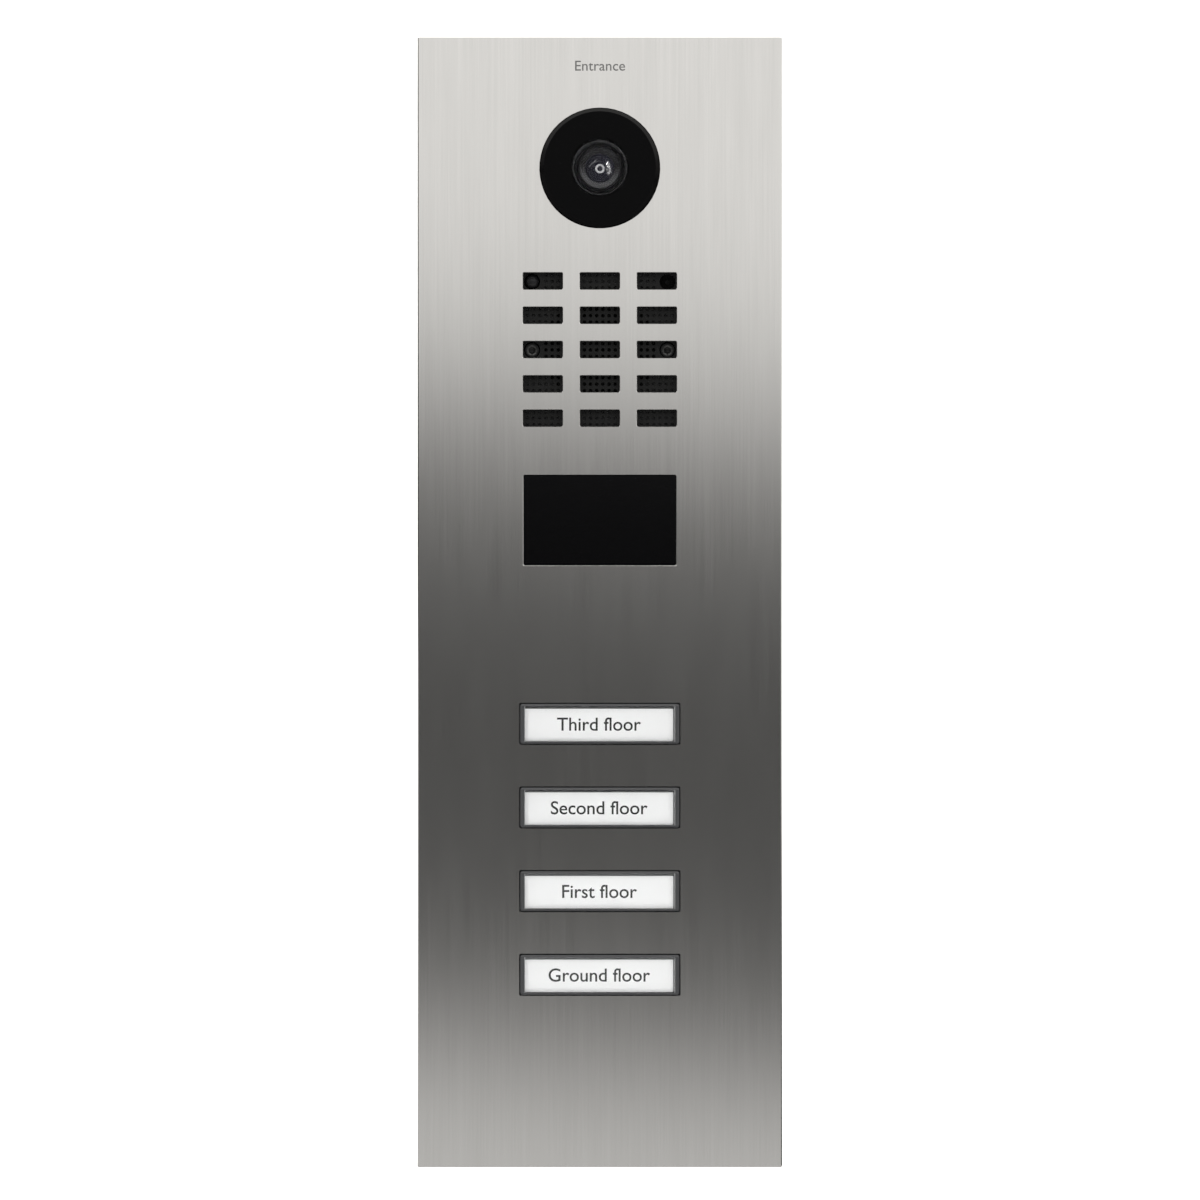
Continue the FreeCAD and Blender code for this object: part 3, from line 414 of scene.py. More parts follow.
black_oxide = plain_finish("black_oxide_steel", (0.014, 0.014, 0.014), 0.35, 0.00012, 0.002 * MM, 0.8)
# Lighter grey for the chamfer round each socket mouth: a painted highlight ring.
socket_mouth_highlight = plain_finish("painted_socket_highlight", (0.055, 0.055, 0.054), 0.35, 0.00012, 0.002 * MM, 1.0)
screw_low, screw_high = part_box("fixing_screws")
screw_x = screw_high.x - head_radius * MM
screw_z = (screw_low.z + screw_high.z) / 2
left_screw = socket_screw((-screw_x, screw_z))
screws = joined(copies(left_screw, [(screw_x, screw_z)], (-screw_x, screw_z)))
smooth(screws, 30.0)
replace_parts(settle(screws, "threaded_wall_screws", black_oxide), "fixing_screws")
# The faces round each socket mouth get the painted highlight grey.
screws.data.materials.append(socket_mouth_highlight)
for face in screws.data.polygons:
    reach = Vector((abs(face.center.x) - screw_x, face.center.z - screw_z)).length
    on_mouth = 1.2 * MM < reach < 1.6 * MM and face.center.y < 0.3 * MM
    if on_mouth and abs(face.normal.y) < 0.9:
        face.material_index = 1
paint(zinc, "fixing_clips", "module_screws", "terminal_screws")

# ---- Module housings ----
# Injection moulded black tubs and covers with a fine spark-eroded texture. A moulded arrow on
# the rear cover shows which way up the module goes.
housing_plastic = plain_finish("spark_eroded_plastic", (0.030, 0.030, 0.032), 0.55, 0.00018, 0.02 * MM,
                               drift=0.04)
paint(housing_plastic, "module_front_shell", "module_rear_cover", "button_housing", "button_rear_cover")


def up_arrow(x, y, z, height):
    """Flat raised arrow that points up, from a narrow stem and a wide head."""
    stem_width = height * 0.28
    stem_height = height * 0.5
    head_height = height * 0.45
    thickness = 0.6 * MM
    widening = 2.8
    tip_share = 0.02
    bpy.ops.object.select_all(action="DESELECT")
    bpy.ops.mesh.primitive_cube_add(size=1.0, location=(x, y, z))
    stem = bpy.context.object
    stem.scale = (stem_width, thickness, stem_height)
    bpy.ops.object.transform_apply(location=False, rotation=False, scale=True)
    bpy.ops.object.mode_set(mode="EDIT")
    bpy.ops.mesh.select_mode(type="FACE")
    bpy.ops.mesh.select_all(action="DESELECT")
    bpy.ops.object.mode_set(mode="OBJECT")
    for face in stem.data.polygons:
        face.select = face.normal.z > 0.9
    bpy.ops.object.mode_set(mode="EDIT")
    stem_top = z + stem_height / 2
    bpy.ops.mesh.extrude_region_move(TRANSFORM_OT_translate={"value": (0.0, 0.0, 0.0)})
    bpy.ops.transform.resize(value=(widening, 1.0, 1.0), center_override=(x, y, stem_top))
    bpy.ops.mesh.extrude_region_move(TRANSFORM_OT_translate={"value": (0.0, 0.0, head_height)})
    tip = (x, y, stem_top + head_height)
    bpy.ops.transform.resize(value=(tip_share, 1.0, 1.0), center_override=tip)
    bpy.ops.mesh.select_all(action="SELECT")
    bpy.ops.mesh.normals_make_consistent(inside=False)
    bpy.ops.object.mode_set(mode="OBJECT")
    return stem


cover_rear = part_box("button_rear_cover")[1].y
arrow_rise = 0.15 * MM
arrow_z = -60.0 * MM
arrow_height = 9.0 * MM
arrow = up_arrow(0.0, cover_rear + arrow_rise, arrow_z, arrow_height)
settle(arrow, "moulded_arrow", housing_plastic)

# ---- Camera ----
# A black bezel that infrared light passes, a clear window in its middle, and behind that a
# black lens barrel with stepped baffles. The window and the lens elements are dark glossy coats
# that are mostly see-through, so small lights make clean highlights on them.
lens_low, lens_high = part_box("lens_barrel")
lens_axis = (0.0, (lens_low.z + lens_high.z) / 2)
bezel_black = (0.0016, 0.0016, 0.0017)
# The bezel's inner surfaces within the hood radius are a lighter grey: painted light in the recess where
# shade falls.
hood_painted_light_grey = (0.05, 0.05, 0.052)
hood_start = 8.0 * MM
hood_end = 8.3 * MM
bezel_plastic, bezel_tree, bezel_shader = new_finish("infrared_black_plastic", bezel_black, 0.25)
bezel_shader.inputs["Specular IOR Level"].default_value = 0.035


def share(tree, value, start, end):
    """Share of the way from start to end, between 0 and 1, for a value in metres."""
    spread = tree.nodes.new("ShaderNodeMapRange")
    spread.inputs["From Min"].default_value = start
    spread.inputs["From Max"].default_value = end
    tree.links.new(value, spread.inputs["Value"])
    return spread.outputs["Result"]


from_axis = on_piece(bezel_tree, "ShaderNodeVectorMath", (1.0, 0.0, 1.0))
from_axis.operation = "DISTANCE"
from_axis.inputs[1].default_value = (0.0, 0.0, lens_axis[1])
# Black bezel plastic outside the hood radius, painted light grey inside it.
outside_painted_light_hood = share(bezel_tree, from_axis.outputs["Value"], hood_start, hood_end)
vary_colour(bezel_tree, outside_painted_light_hood, hood_painted_light_grey, bezel_black, bezel_shader.inputs["Base Color"])
bezel_grain = on_piece(bezel_tree, "ShaderNodeTexNoise", (4000.0, 4000.0, 4000.0))
bezel_grain.inputs["Scale"].default_value = 1.0
vary_value(bezel_tree, bezel_grain.outputs["Fac"], 0.23, 0.27, bezel_shader.inputs["Roughness"])
raise_grain(bezel_tree, bezel_shader, bezel_grain.outputs["Fac"], 0.002 * MM)
paint(bezel_plastic, "camera_bezel")
window_glass = plain_finish("coated_window_glass", (0.010, 0.010, 0.012), 0.03, 0.0008, 0.0005 * MM)
tune(window_glass, "Alpha", 0.08)
paint(window_glass, "camera_window")
lens_black = plain_finish("anodised_black", (0.004, 0.004, 0.0045), 0.35, 0.00015, 0.002 * MM)
tune(lens_black, "Specular IOR Level", 0.08)
barrel_rings = [(6.0, 8.4), (6.0, -1.4), (6.9, -1.4), (6.9, -3.9), (6.75, -4.15), (6.5, -4.4), (6.1, -4.4),
                (5.9, -4.2), (5.2, -3.95), (4.7, -3.75), (4.5, -3.7), (4.35, -3.6), (4.35, -2.5), (3.6, -2.4),
                (3.5, -1.9), (3.0, -1.8), (2.9, -1.2), (2.5, -1.1), (2.4, 0.6)]
barrel = drawn(barrel_rings, lens_axis, 96)
smooth(barrel, 30.0)
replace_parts(settle(barrel, "stepped_lens_barrel", lens_black), "lens_barrel")
satin_cone = plain_finish("turned_satin_cone", (0.040, 0.040, 0.042), 0.25, 0.00015, 0.002 * MM, 1.0)
barrel.data.materials.append(satin_cone)
cone_rear = -3.5 * MM
for face in barrel.data.polygons:
    reach = Vector((face.center.x, face.center.z - lens_axis[1])).length
    on_cone = 4.4 * MM < reach < 5.9 * MM
    if on_cone and face.center.y < cone_rear:
        face.material_index = 1
coated = plain_finish("coated_front_element", (0.002, 0.002, 0.003), 0.10, 0.002, 0.0001 * MM)
tune(coated, "Specular IOR Level", 0.1)
tune(coated, "Alpha", 0.4)
glass_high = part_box("lens_front_glass")[1]
glass_radius = glass_high.x / MM
ball_radius = 7.6
glass_rim = -3.8
dome_rings = [(glass_radius, glass_high.y / MM), (glass_radius, glass_rim)]
dome_steps = 14
rim_angle = asin(glass_radius / ball_radius)
for step in range(1, dome_steps):
    angle = rim_angle * (1 - step / dome_steps)
    rise = ball_radius * (cos(angle) - cos(rim_angle))
    dome_rings.append((ball_radius * sin(angle), glass_rim - rise))
front_element = drawn(dome_rings, lens_axis, 96)
smooth(front_element, 30.0)
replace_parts(settle(front_element, "domed_front_element", coated), "lens_front_glass")
iris_rings = [(1.45, 0.4), (1.45, -1.86), (1.35, -2.05), (0.85, -2.05), (0.75, -1.9), (0.7, -1.6)]
iris = drawn(iris_rings, lens_axis)
smooth(iris, 30.0)
bright_ring = plain_finish("turned_bright_ring", (0.30, 0.30, 0.30), 0.5, 0.00015, 0.002 * MM)
settle(iris, "lens_iris_ring", bright_ring)
iris.data.materials.append(lens_black)
hole_front = -1.8 * MM
for face in iris.data.polygons:
    if face.center.y > hole_front:
        face.material_index = 1
eye_rings = [(2.35, 0.5), (2.35, -0.6), (2.2, -0.95), (1.9, -1.25), (1.5, -1.5), (1.4, -1.55), (1.4, 0.4)]
eye = drawn(eye_rings, lens_axis)
smooth(eye, 60.0)
settle(eye, "lens_second_element", coated)
matt_black = plain_finish("matt_black_plastic", (0.035, 0.035, 0.036), 0.7, 0.00015, 0.008 * MM)
paint(matt_black, "lens_mount", "infrared_filter")


def filter_pane(name, finish, x):
    """Thin coated panes with bevelled edges, one let into each face of the filter slider."""
    slider_low, slider_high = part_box("infrared_filter")
    sunk = 0.13 * MM
    size = (5.7 * MM, 0.22 * MM, 6.3 * MM)
    bevel = 0.05 * MM
    halves = []
    for y in (slider_low.y + sunk, slider_high.y - sunk):
        bpy.ops.object.select_all(action="DESELECT")
        bpy.ops.mesh.primitive_cube_add(size=1.0, location=(x, y, lens_axis[1]))
        pane = bpy.context.object
        pane.scale = size
        bpy.ops.object.transform_apply(location=False, rotation=False, scale=True)
        bpy.ops.object.mode_set(mode="EDIT")
        bpy.ops.mesh.select_all(action="SELECT")
        bpy.ops.mesh.bevel(offset=bevel, segments=2)
        bpy.ops.object.mode_set(mode="OBJECT")
        halves.append(pane)
    settle(joined(halves), name, finish, "infrared_filter")


day_coating = plain_finish("pink_day_coating", (0.32, 0.10, 0.13), 0.08, 0.002, 0.0001 * MM)
night_coating = plain_finish("clear_night_coating", (0.30, 0.34, 0.33), 0.08, 0.002, 0.0001 * MM)
filter_step = 6.8 * MM
filter_pane("filter_day_pane", day_coating, 0.0)
filter_pane("filter_night_pane", night_coating, -filter_step)


def circuit_board(name):
    """Green solder mask over copper tracks that run in straight steps."""
    made, tree, shader = new_finish(name, (0.02, 0.10, 0.045), 0.35)
    tracks = on_piece(tree, "ShaderNodeTexBrick", (520.0, 520.0, 520.0))
    tracks.inputs["Scale"].default_value = 1.0
    tracks.inputs["Mortar Size"].default_value = 0.12
    tracks.inputs["Color1"].default_value = (0.015, 0.085, 0.036, 1.0)
    tracks.inputs["Color2"].default_value = (0.017, 0.095, 0.040, 1.0)
    tracks.inputs["Mortar"].default_value = (0.035, 0.16, 0.075, 1.0)
    tree.links.new(tracks.outputs["Color"], shader.inputs["Base Color"])
    raise_grain(tree, shader, tracks.outputs["Fac"], 0.02 * MM)
    return made


board_green = circuit_board("green_circuit_board")
paint(board_green, "camera_board", "infrared_board", "card_reader_board", "main_board", "button_board")
epoxy = plain_finish("moulded_epoxy", (0.022, 0.022, 0.023), 0.5, 0.0001, 0.006 * MM)
paint(epoxy, "filter_drive", "image_sensor", "board_components", "button_switches")
resin = plain_finish("cast_led_resin", (0.80, 0.78, 0.62), 0.18, 0.0003, 0.002 * MM)
paint(resin, "infrared_leds", "button_leds")

# ---- Speech grille ----
# A black powder coated plate with rows of small holes behind each slot, a woven cloth on its
# back, and the loudspeaker, microphone and daylight guide that work through it.
powder_black = plain_finish("black_powder_coat", (0.0055, 0.0055, 0.0055), 0.5, 0.00012, 0.012 * MM)
tune(powder_black, "Specular IOR Level", 0.14)
paint(powder_black, "grille_plate", "speaker_basket")
cloth, cloth_tree, cloth_shader = new_finish("woven_cloth", (0.006, 0.006, 0.006), 0.9)
threads = on_piece(cloth_tree, "ShaderNodeTexChecker", (7000.0, 7000.0, 7000.0))
threads.inputs["Scale"].default_value = 1.0
vary_colour(cloth_tree, threads.outputs["Fac"], (0.003, 0.003, 0.003), (0.010, 0.010, 0.010),
            cloth_shader.inputs["Base Color"], 0.0, 1.0)
raise_grain(cloth_tree, cloth_shader, threads.outputs["Fac"], 0.03 * MM)
paint(cloth, "acoustic_mesh")
paint(plain_finish("pressed_pulp", (0.03, 0.03, 0.03), 0.85, 0.0003, 0.03 * MM), "speaker_cone")
paint(plain_finish("plated_ferrite", (0.30, 0.30, 0.31), 0.4, 0.0002, 0.003 * MM, 0.8), "speaker_magnet")
capsule, capsule_tree, capsule_shader = new_finish("drawn_can_with_felt", (0.72, 0.73, 0.74), 0.3, 1.0)
depths = on_piece(capsule_tree, "ShaderNodeSeparateXYZ", (1.0, 1.0, 1.0))
capsule_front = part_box("microphone")[0].y
on_can = share(capsule_tree, depths.outputs["Y"], capsule_front + 0.02 * MM, capsule_front + 0.06 * MM)
vary_colour(capsule_tree, on_can, (0.01, 0.01, 0.01), (0.72, 0.73, 0.74),
            capsule_shader.inputs["Base Color"])
vary_value(capsule_tree, on_can, 0.95, 0.3, capsule_shader.inputs["Roughness"])
vary_value(capsule_tree, on_can, 0.0, 1.0, capsule_shader.inputs["Metallic"])
paint(capsule, "microphone")
smoked = plain_finish("smoked_clear_plastic", (0.009, 0.009, 0.010), 0.32, 0.0006, 0.001 * MM)
tune(smoked, "Specular IOR Level", 0.15)
paint(smoked, "light_guide")

# ---- Reader window ----
# Polished black acrylic that lies 0.3 mm under the plate's face, with the card reader and the
# milky dome of the motion sensor behind it.
acrylic = plain_finish("polished_black_acrylic", (0.0016, 0.0016, 0.0018), 0.07, 0.003, 0.001 * MM)
tune(acrylic, "Specular IOR Level", 0.15)
paint(acrylic, "sensor_window")
paint(plain_finish("milky_dome", (0.78, 0.78, 0.75), 0.4, 0.0003, 0.01 * MM), "motion_sensor")

# ---- Main electronics ----
# The heat sink, the relays that switch the door opener, and the green plug-in terminal block
# whose ways are numbered from 1 as seen from behind.
paint(plain_finish("anodised_sink", (0.03, 0.03, 0.032), 0.45, 0.0001, 0.003 * MM, 0.7), "heat_sink")
paint(plain_finish("relay_case", (0.015, 0.05, 0.22), 0.3, 0.0002, 0.006 * MM), "relays")
terminal_green = plain_finish("green_polyamide", (0.02, 0.19, 0.06), 0.42, 0.0002, 0.01 * MM)
paint(terminal_green, "terminal_header", "terminal_plug")
white_ink = plain_finish("white_ink", (0.75, 0.75, 0.73), 0.6, 0.0001, 0.002 * MM)
plug_low, plug_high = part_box("terminal_plug")
ways = 14
way_pitch = (plug_high.x - plug_low.x) / ways
number_z = plug_high.z - 1.3 * MM
number_height = 1.9 * MM
ink_thickness = 0.03 * MM
numbers = []
for way in range(ways):
    place = (plug_high.x - way_pitch * (way + 0.5), plug_high.y, number_z)
    numbers.append(lettering(str(way + 1), number_height, place, ink_thickness, pi))
settle(joined(numbers), "terminal_numbers", white_ink)

# ---- Key mat ----
# One moulded sheet of translucent silicone, and a separate piece of three domes for each button.
# The real domes flatten when their button is pressed; these stay as drawn, on the panel.
silicone, silicone_tree, silicone_shader = new_finish("translucent_silicone", (0.72, 0.72, 0.70), 0.5)
silicone_shader.inputs["Subsurface Weight"].default_value = 0.3
silicone_shader.inputs["Subsurface Scale"].default_value = 0.001
silicone_dust = on_piece(silicone_tree, "ShaderNodeTexNoise", (1500.0, 1500.0, 1500.0))
vary_colour(silicone_tree, silicone_dust.outputs["Fac"], (0.66, 0.66, 0.64), (0.78, 0.78, 0.76),
            silicone_shader.inputs["Base Color"])
raise_grain(silicone_tree, silicone_shader, silicone_dust.outputs["Fac"], 0.01 * MM)
mat_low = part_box("key_mat")[0]
sheet_front = 4.6
mat_front = sheet_front * MM
button_heights = [sum(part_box(f"call_button_cap_{n}")[end].z for end in (0, 1)) / 2 for n in (1, 2, 3, 4)]


def working_copy(node):
    """Copy of a CAD node with its own merged mesh, ready to be worked on."""
    only(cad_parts[node])
    bpy.ops.object.duplicate()
    piece = bpy.context.object
    for key in list(piece.keys()):
        del piece[key]
    bpy.ops.object.mode_set(mode="EDIT")
    bpy.ops.mesh.select_mode(type="VERT")
    bpy.ops.mesh.select_all(action="SELECT")
    bpy.ops.mesh.remove_doubles(threshold=merge_within)
    bpy.ops.mesh.select_mode(type="FACE")
    bpy.ops.mesh.select_all(action="DESELECT")
    bpy.ops.object.mode_set(mode="OBJECT")
    return piece


mat = working_copy("key_mat")
for face in mat.data.polygons:
    face.select = face.center.y < mat_front - 0.01 * MM
bpy.ops.object.mode_set(mode="EDIT")
bpy.ops.mesh.delete(type="FACE")
bpy.ops.mesh.select_all(action="SELECT")
bpy.ops.mesh.fill_holes(sides=0)
bpy.ops.mesh.select_all(action="SELECT")
bpy.ops.mesh.normals_make_consistent(inside=False)
bpy.ops.object.mode_set(mode="OBJECT")
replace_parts(settle(mat, "key_mat_sheet", silicone), "key_mat")
dome_x = (-14.0 * MM, 0.0, 14.0 * MM)
dome_front = mat_low.y / MM
for number, height in enumerate(button_heights, start=1):
    rings = [(3.8, sheet_front), (3.6, 4.2), (3.1, dome_front + 0.15), (2.9, dome_front), (1.6, dome_front),
             (1.5, dome_front + 0.1), (0.4, dome_front + 0.12)]
    dome = drawn(rings, (dome_x[0], height), 32)
    domes = joined(copies(dome, [(x, height) for x in dome_x[1:]], (dome_x[0], height)))
    smooth(domes, 40.0)
    settle(domes, f"key_domes_{number}", silicone)
    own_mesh(domes)

# ---- Ribbon cable ----
# Flat grey cable of ten insulated wires side by side, with a moulded socket at its lower end.
# It drops from the main board, steps forward and enters the button housing.
wires = 10
wire_pitch = 1.27 * MM


def ribbon_plastic_with_painted_shade(name, dark, light):
    """Insulation with painted shade in the valleys between the wires."""
    made, tree, shader = new_finish(name, light, 0.5)
    wave_length = pi / 10
    # Painted shade: the wave pattern darkens the insulation in the valleys between the wires.
    valleys = on_piece(tree, "ShaderNodeTexWave", (wave_length / wire_pitch, 0.0, 0.0))
    valleys.inputs["Scale"].default_value = 1.0
    vary_colour(tree, valleys.outputs["Fac"], dark, light, shader.inputs["Base Color"], 0.05, 0.4)
    return made


ribbon_grey = ribbon_plastic_with_painted_shade("ribbon_insulation", (0.05, 0.05, 0.052), (0.20, 0.20, 0.21))
marked_wire = ribbon_plastic_with_painted_shade("marked_first_wire", (0.10, 0.01, 0.01), (0.42, 0.03, 0.03))
socket_black = plain_finish("socket_polyester", (0.02, 0.02, 0.021), 0.5, 0.0002, 0.006 * MM)
ribbon = working_copy("ribbon_cable")
socket_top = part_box("ribbon_cable")[0].z + 4.0 * MM
just_above = socket_top + 0.01 * MM
groove = 0.28 * MM
for line in range(1, 2 * wires):
    for face in ribbon.data.polygons:
        face.select = face.center.z > just_above
    bpy.ops.object.mode_set(mode="EDIT")
    line_x = (line / 2 - wires / 2) * wire_pitch
    bpy.ops.mesh.bisect(plane_co=(line_x, 0.0, 0.0), plane_no=(1.0, 0.0, 0.0))
    bpy.ops.object.mode_set(mode="OBJECT")
bpy.ops.object.mode_set(mode="EDIT")
bpy.ops.mesh.select_mode(type="VERT")
bpy.ops.mesh.select_all(action="DESELECT")
bpy.ops.object.mode_set(mode="OBJECT")
for vertex in ribbon.data.vertices:
    between = vertex.co.x / wire_pitch
    in_valley = abs(between - round(between)) < 0.05 and abs(between) < wires / 2 - 0.5
    vertex.select = in_valley and vertex.co.z > just_above
bpy.ops.object.mode_set(mode="EDIT")
bpy.ops.transform.shrink_fatten(value=-groove)
bpy.ops.mesh.select_mode(type="FACE")
bpy.ops.object.mode_set(mode="OBJECT")
smooth(ribbon, 45.0)
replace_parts(settle(ribbon, "ribbon_of_ten_wires", ribbon_grey), "ribbon_cable")
ribbon.data.materials.append(socket_black)
ribbon.data.materials.append(marked_wire)
for face in ribbon.data.polygons:
    if face.center.z < socket_top + 0.001 * MM:
        face.material_index = 1
    elif face.center.x > (wires / 2 - 1) * wire_pitch:
        face.material_index = 2

# ---- Call buttons ----
# Polycarbonate cap over a white paper card in a grey tray. The cap is clear over the card, and
# a nearly opaque grey in the rim beyond it. The cards name the floors, from the top one down.


def clear(name, colour, roughness, ior, smear):
    """Clear solid with faint smears in its polish."""
    made, tree, shader = new_finish(name, colour, roughness)
    shader.inputs["Transmission Weight"].default_value = 1.0
    shader.inputs["IOR"].default_value = ior
    marks = on_piece(tree, "ShaderNodeTexNoise", (smear, smear, smear))
    marks.inputs["Scale"].default_value = 1.0
    vary_value(tree, marks.outputs["Fac"], roughness, roughness + 0.04, shader.inputs["Roughness"])
    return made


cap_colour = (0.97, 0.975, 0.98)
rim_grey = (0.044, 0.045, 0.047)
cap_clear = clear("clear_polycarbonate", cap_colour, 0.0, 1.30, 300.0)
cap_tree = cap_clear.node_tree
cap_shader = cap_tree.nodes["Principled BSDF"]
tune(cap_clear, "Specular IOR Level", 0.25)


def worked(tree, operation, first, *rest):
    """Result of a maths node on a value and further values or numbers."""
    sum_node = tree.nodes.new("ShaderNodeMath")
    sum_node.operation = operation
    for socket, value in zip(sum_node.inputs, (first, *rest)):
        if isinstance(value, float):
            socket.default_value = value
        else:
            tree.links.new(value, socket)
    return sum_node.outputs["Value"]


clear_half_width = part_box("name_card_1")[1].x + 0.45 * MM
clear_half_height = 5.3 * MM
button_pitch = button_heights[0] - button_heights[1]
across = on_piece(cap_tree, "ShaderNodeSeparateXYZ", (1.0, 1.0, 1.0))
sideways = worked(cap_tree, "ABSOLUTE", across.outputs["X"])
beside = worked(cap_tree, "DIVIDE", sideways, clear_half_width)
from_first = worked(cap_tree, "SUBTRACT", across.outputs["Z"], button_heights[0])
in_pitch = worked(cap_tree, "WRAP", from_first, button_pitch / 2, -button_pitch / 2)
above = worked(cap_tree, "DIVIDE", worked(cap_tree, "ABSOLUTE", in_pitch), clear_half_height)
rim_share = worked(cap_tree, "MAXIMUM", beside, above)
in_rim = share(cap_tree, rim_share, 0.995, 1.005)
vary_value(cap_tree, in_rim, 1.0, 0.12, cap_shader.inputs["Transmission Weight"], 0.0, 1.0)
vary_colour(cap_tree, in_rim, cap_colour, rim_grey, cap_shader.inputs["Base Color"], 0.0, 1.0)
card_paper, card_tree, card_shader = new_finish("card_paper", (0.82, 0.82, 0.82), 0.75)
fibres = on_piece(card_tree, "ShaderNodeTexNoise", (2500.0, 2500.0, 2500.0))
fibres.inputs["Detail"].default_value = 4.0
vary_colour(card_tree, fibres.outputs["Fac"], (0.79, 0.79, 0.79), (0.85, 0.85, 0.85),
            card_shader.inputs["Base Color"])
raise_grain(card_tree, card_shader, fibres.outputs["Fac"], 0.004 * MM)
tray_grey = plain_finish("translucent_grey_plastic", (0.08, 0.083, 0.087), 0.35, 0.0004, 0.005 * MM)
black_ink = plain_finish("black_ink", (0.012, 0.012, 0.012), 0.55, 0.0001, 0.001 * MM)
letter_height = 5.6 * MM
letter_thickness = 0.01 * MM
letter_gap = 0.004 * MM
letter_weight = 0.05 * MM
floors = ("Third floor", "Second floor", "First floor", "Ground floor")
for number, words in enumerate(floors, start=1):
    paint(cap_clear, f"call_button_cap_{number}")
    paint(card_paper, f"name_card_{number}")
    paint(tray_grey, f"card_carrier_{number}")
    card_low, card_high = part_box(f"name_card_{number}")
    middle = (card_low + card_high) / 2
    place = (middle.x, card_low.y - letter_gap, middle.z)
    name = lettering(words, letter_height, place, letter_thickness, weight=letter_weight)
    settle(name, f"printed_name_{number}", black_ink, f"call_button_{number}")

# ---- Studio ----
# Pale floor that sweeps up behind the panel, and a soft white surround with a dark band at eye
# level, which the brushed plate shows across its middle. Two small lights reach only the lens.
bpy.ops.object.select_all(action="DESELECT")
bpy.ops.mesh.primitive_plane_add(size=1.0, location=(0.0, 0.0, plate_low.z))
floor = bpy.context.object
floor.name = "studio_floor"
floor.scale = (8.0, 4.0, 1.0)
bpy.ops.object.transform_apply(location=False, rotation=False, scale=True)
bpy.ops.object.mode_set(mode="EDIT")
bpy.ops.mesh.select_mode(type="EDGE")
sweep_radius = 1.2
sweep_steps = 12
step_length = sweep_radius * pi / 2 / sweep_steps
for step in range(sweep_steps):
    bpy.ops.mesh.select_all(action="DESELECT")
    bpy.ops.object.mode_set(mode="OBJECT")
    reach = [vertex.co.y + vertex.co.z for vertex in floor.data.vertices]
    rim = max(reach) - 0.001
    for edge in floor.data.edges:
        edge.select = all(reach[i] > rim for i in edge.vertices)
    bpy.ops.object.mode_set(mode="EDIT")
    angle = (step + 0.5) / sweep_steps * pi / 2
    move = (0.0, step_length * cos(angle), step_length * sin(angle))
    bpy.ops.mesh.extrude_region_move(TRANSFORM_OT_translate={"value": move})
bpy.ops.object.mode_set(mode="OBJECT")
smooth(floor, 30.0)
pale = plain_finish("pale_floor", (0.94, 0.94, 0.94), 0.9, 0.002, 0.0001 * MM, drift=0.005)
floor.data.materials.append(pale)
floor.visible_glossy = False

band_tilt = 0.10
warmth = (1.0, 0.995, 0.98)
white_strength = 1.02
world = bpy.data.worlds.new("studio")
bpy.context.scene.world = world
world.use_nodes = True
sky = world.node_tree
sky.nodes.clear()
direction = sky.nodes.new("ShaderNodeTexCoord")
tilted = sky.nodes.new("ShaderNodeVectorMath")
tilted.operation = "DOT_PRODUCT"
tilted.inputs[1].default_value = (band_tilt, 0.0, 1.0)
sky.links.new(direction.outputs["Generated"], tilted.inputs[0])
spread = sky.nodes.new("ShaderNodeMapRange")
lowest, highest = -0.36, 0.36
spread.inputs["From Min"].default_value = lowest
spread.inputs["From Max"].default_value = highest
sky.links.new(tilted.outputs["Value"], spread.inputs["Value"])
bands = sky.nodes.new("ShaderNodeValToRGB")
ramp = bands.color_ramp
ramp.elements.remove(ramp.elements[1])
levels = [(lowest, 0.6), (-0.28, 0.62), (-0.134, 0.73), (-0.121, 0.87), (-0.1085, 0.52), (-0.099, 0.13),
          (-0.082, 0.07), (-0.020, 0.075), (0.015, 0.08), (0.029, 0.18), (0.042, 0.49), (0.056, 0.85),
          (0.080, 1.0), (0.13, 1.0), (0.30, 1.05), (highest, 2.4)]
for height, level in levels:
    place = (height - lowest) / (highest - lowest)
    element = ramp.elements[0] if place == 0.0 else ramp.elements.new(place)
    element.color = (*(level * share_of for share_of in warmth), 1.0)
sky.links.new(spread.outputs["Result"], bands.inputs["Fac"])
soft = sky.nodes.new("ShaderNodeBackground")
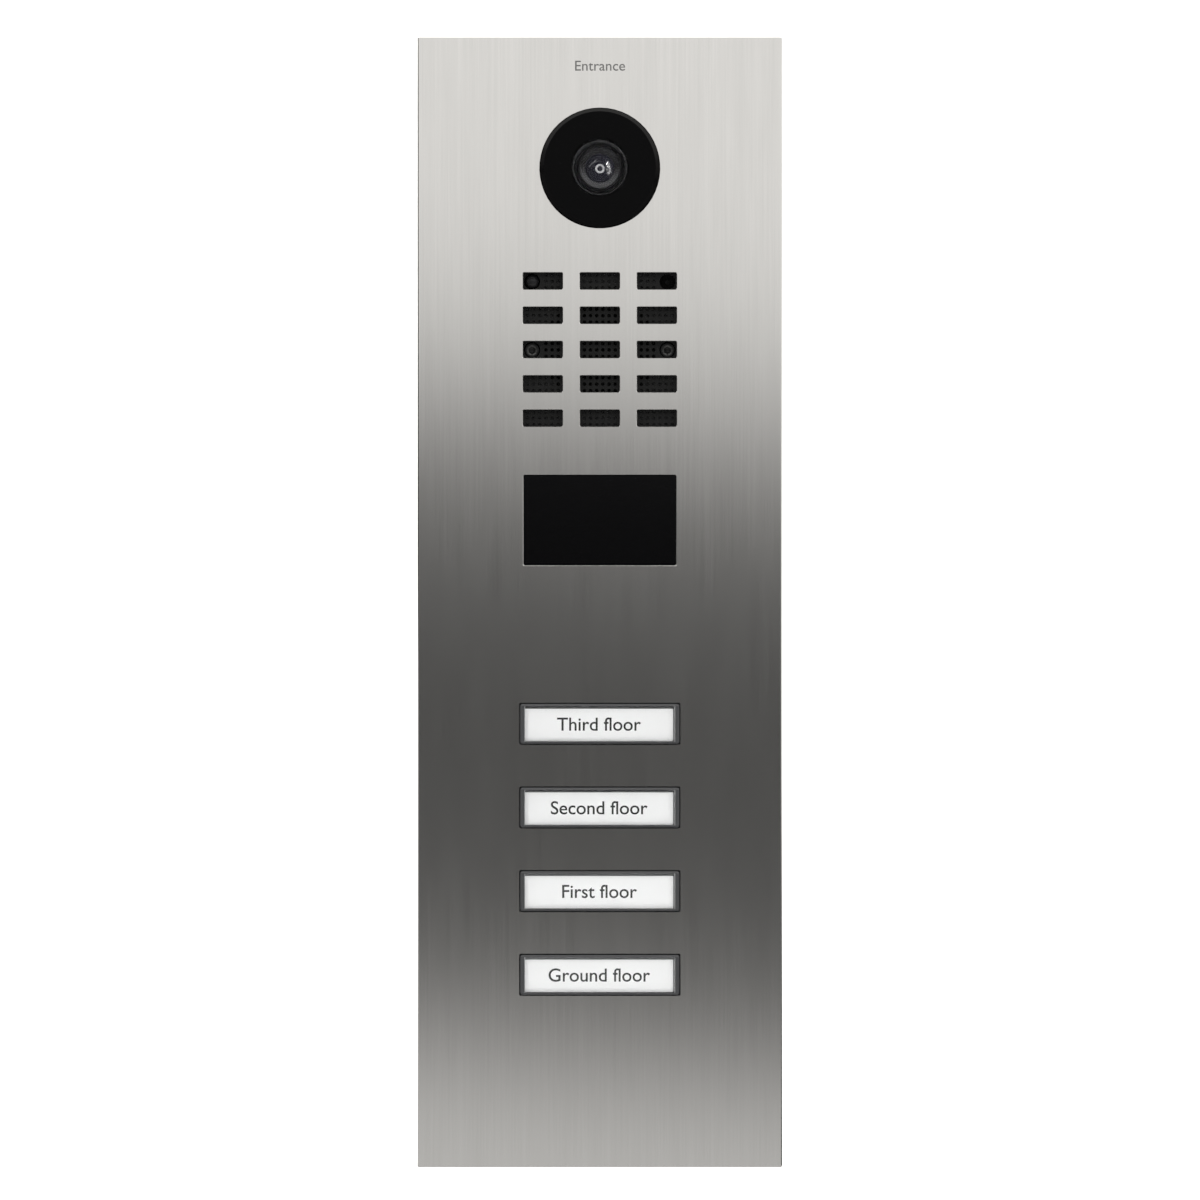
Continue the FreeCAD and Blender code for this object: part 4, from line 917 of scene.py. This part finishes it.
sky.links.new(bands.outputs["Color"], soft.inputs["Color"])
white = sky.nodes.new("ShaderNodeBackground")
white.inputs["Color"].default_value = (1.0, 1.0, 1.0, 1.0)
white.inputs["Strength"].default_value = white_strength
seen = sky.nodes.new("ShaderNodeLightPath")
choice = sky.nodes.new("ShaderNodeMixShader")
out = sky.nodes.new("ShaderNodeOutputWorld")
sky.links.new(seen.outputs["Is Camera Ray"], choice.inputs["Fac"])
sky.links.new(soft.outputs["Background"], choice.inputs[1])
sky.links.new(white.outputs["Background"], choice.inputs[2])
sky.links.new(choice.outputs["Shader"], out.inputs["Surface"])


def lens_light(name, at, width, height, power, roll):
    """Oval studio light that faces the lens, turned by roll about its own axis."""
    light = bpy.data.lights.new(name, "AREA")
    light.shape = "ELLIPSE"
    light.size = width
    light.size_y = height
    light.energy = power
    holder = bpy.data.objects.new(name, light)
    bpy.context.scene.collection.objects.link(holder)
    facing = (Vector((0.0, 0.0, lens_axis[1])) - Vector(at)).to_track_quat("-Z", "Y")
    holder.location = at
    holder.rotation_euler = (facing @ Quaternion((0.0, 0.0, 1.0), roll)).to_euler()
    holder.light_linking.receiver_collection = lit_by_lens_lights


lit_by_lens_lights = bpy.data.collections.new("lit_by_lens_lights")
for piece in (front_element, iris):
    lit_by_lens_lights.objects.link(piece)
lens_light("side_light", (0.55, -0.62, 0.18), 0.36, 0.95, 140.0, 0.0)
lens_light("arc_light", (-0.42, -0.62, 0.50), 0.06, 0.9, 12.0, -pi / 4)

frame_width = 0.3586
lens_length = 130.0
sensor_width = 36.0
distance = frame_width * lens_length / sensor_width
camera_data = bpy.data.cameras.new("camera")
camera_data.lens = lens_length
camera_data.sensor_width = sensor_width
camera = bpy.data.objects.new("camera", camera_data)
bpy.context.scene.collection.objects.link(camera)
aim_x = 0.06 * MM
aim_z = 0.5 * MM
camera.location = (aim_x, plate_front - distance, aim_z)
camera.rotation_euler = (pi / 2, 0.0, 0.0)
bpy.context.scene.camera = camera
bpy.context.scene.view_settings.view_transform = "Standard"
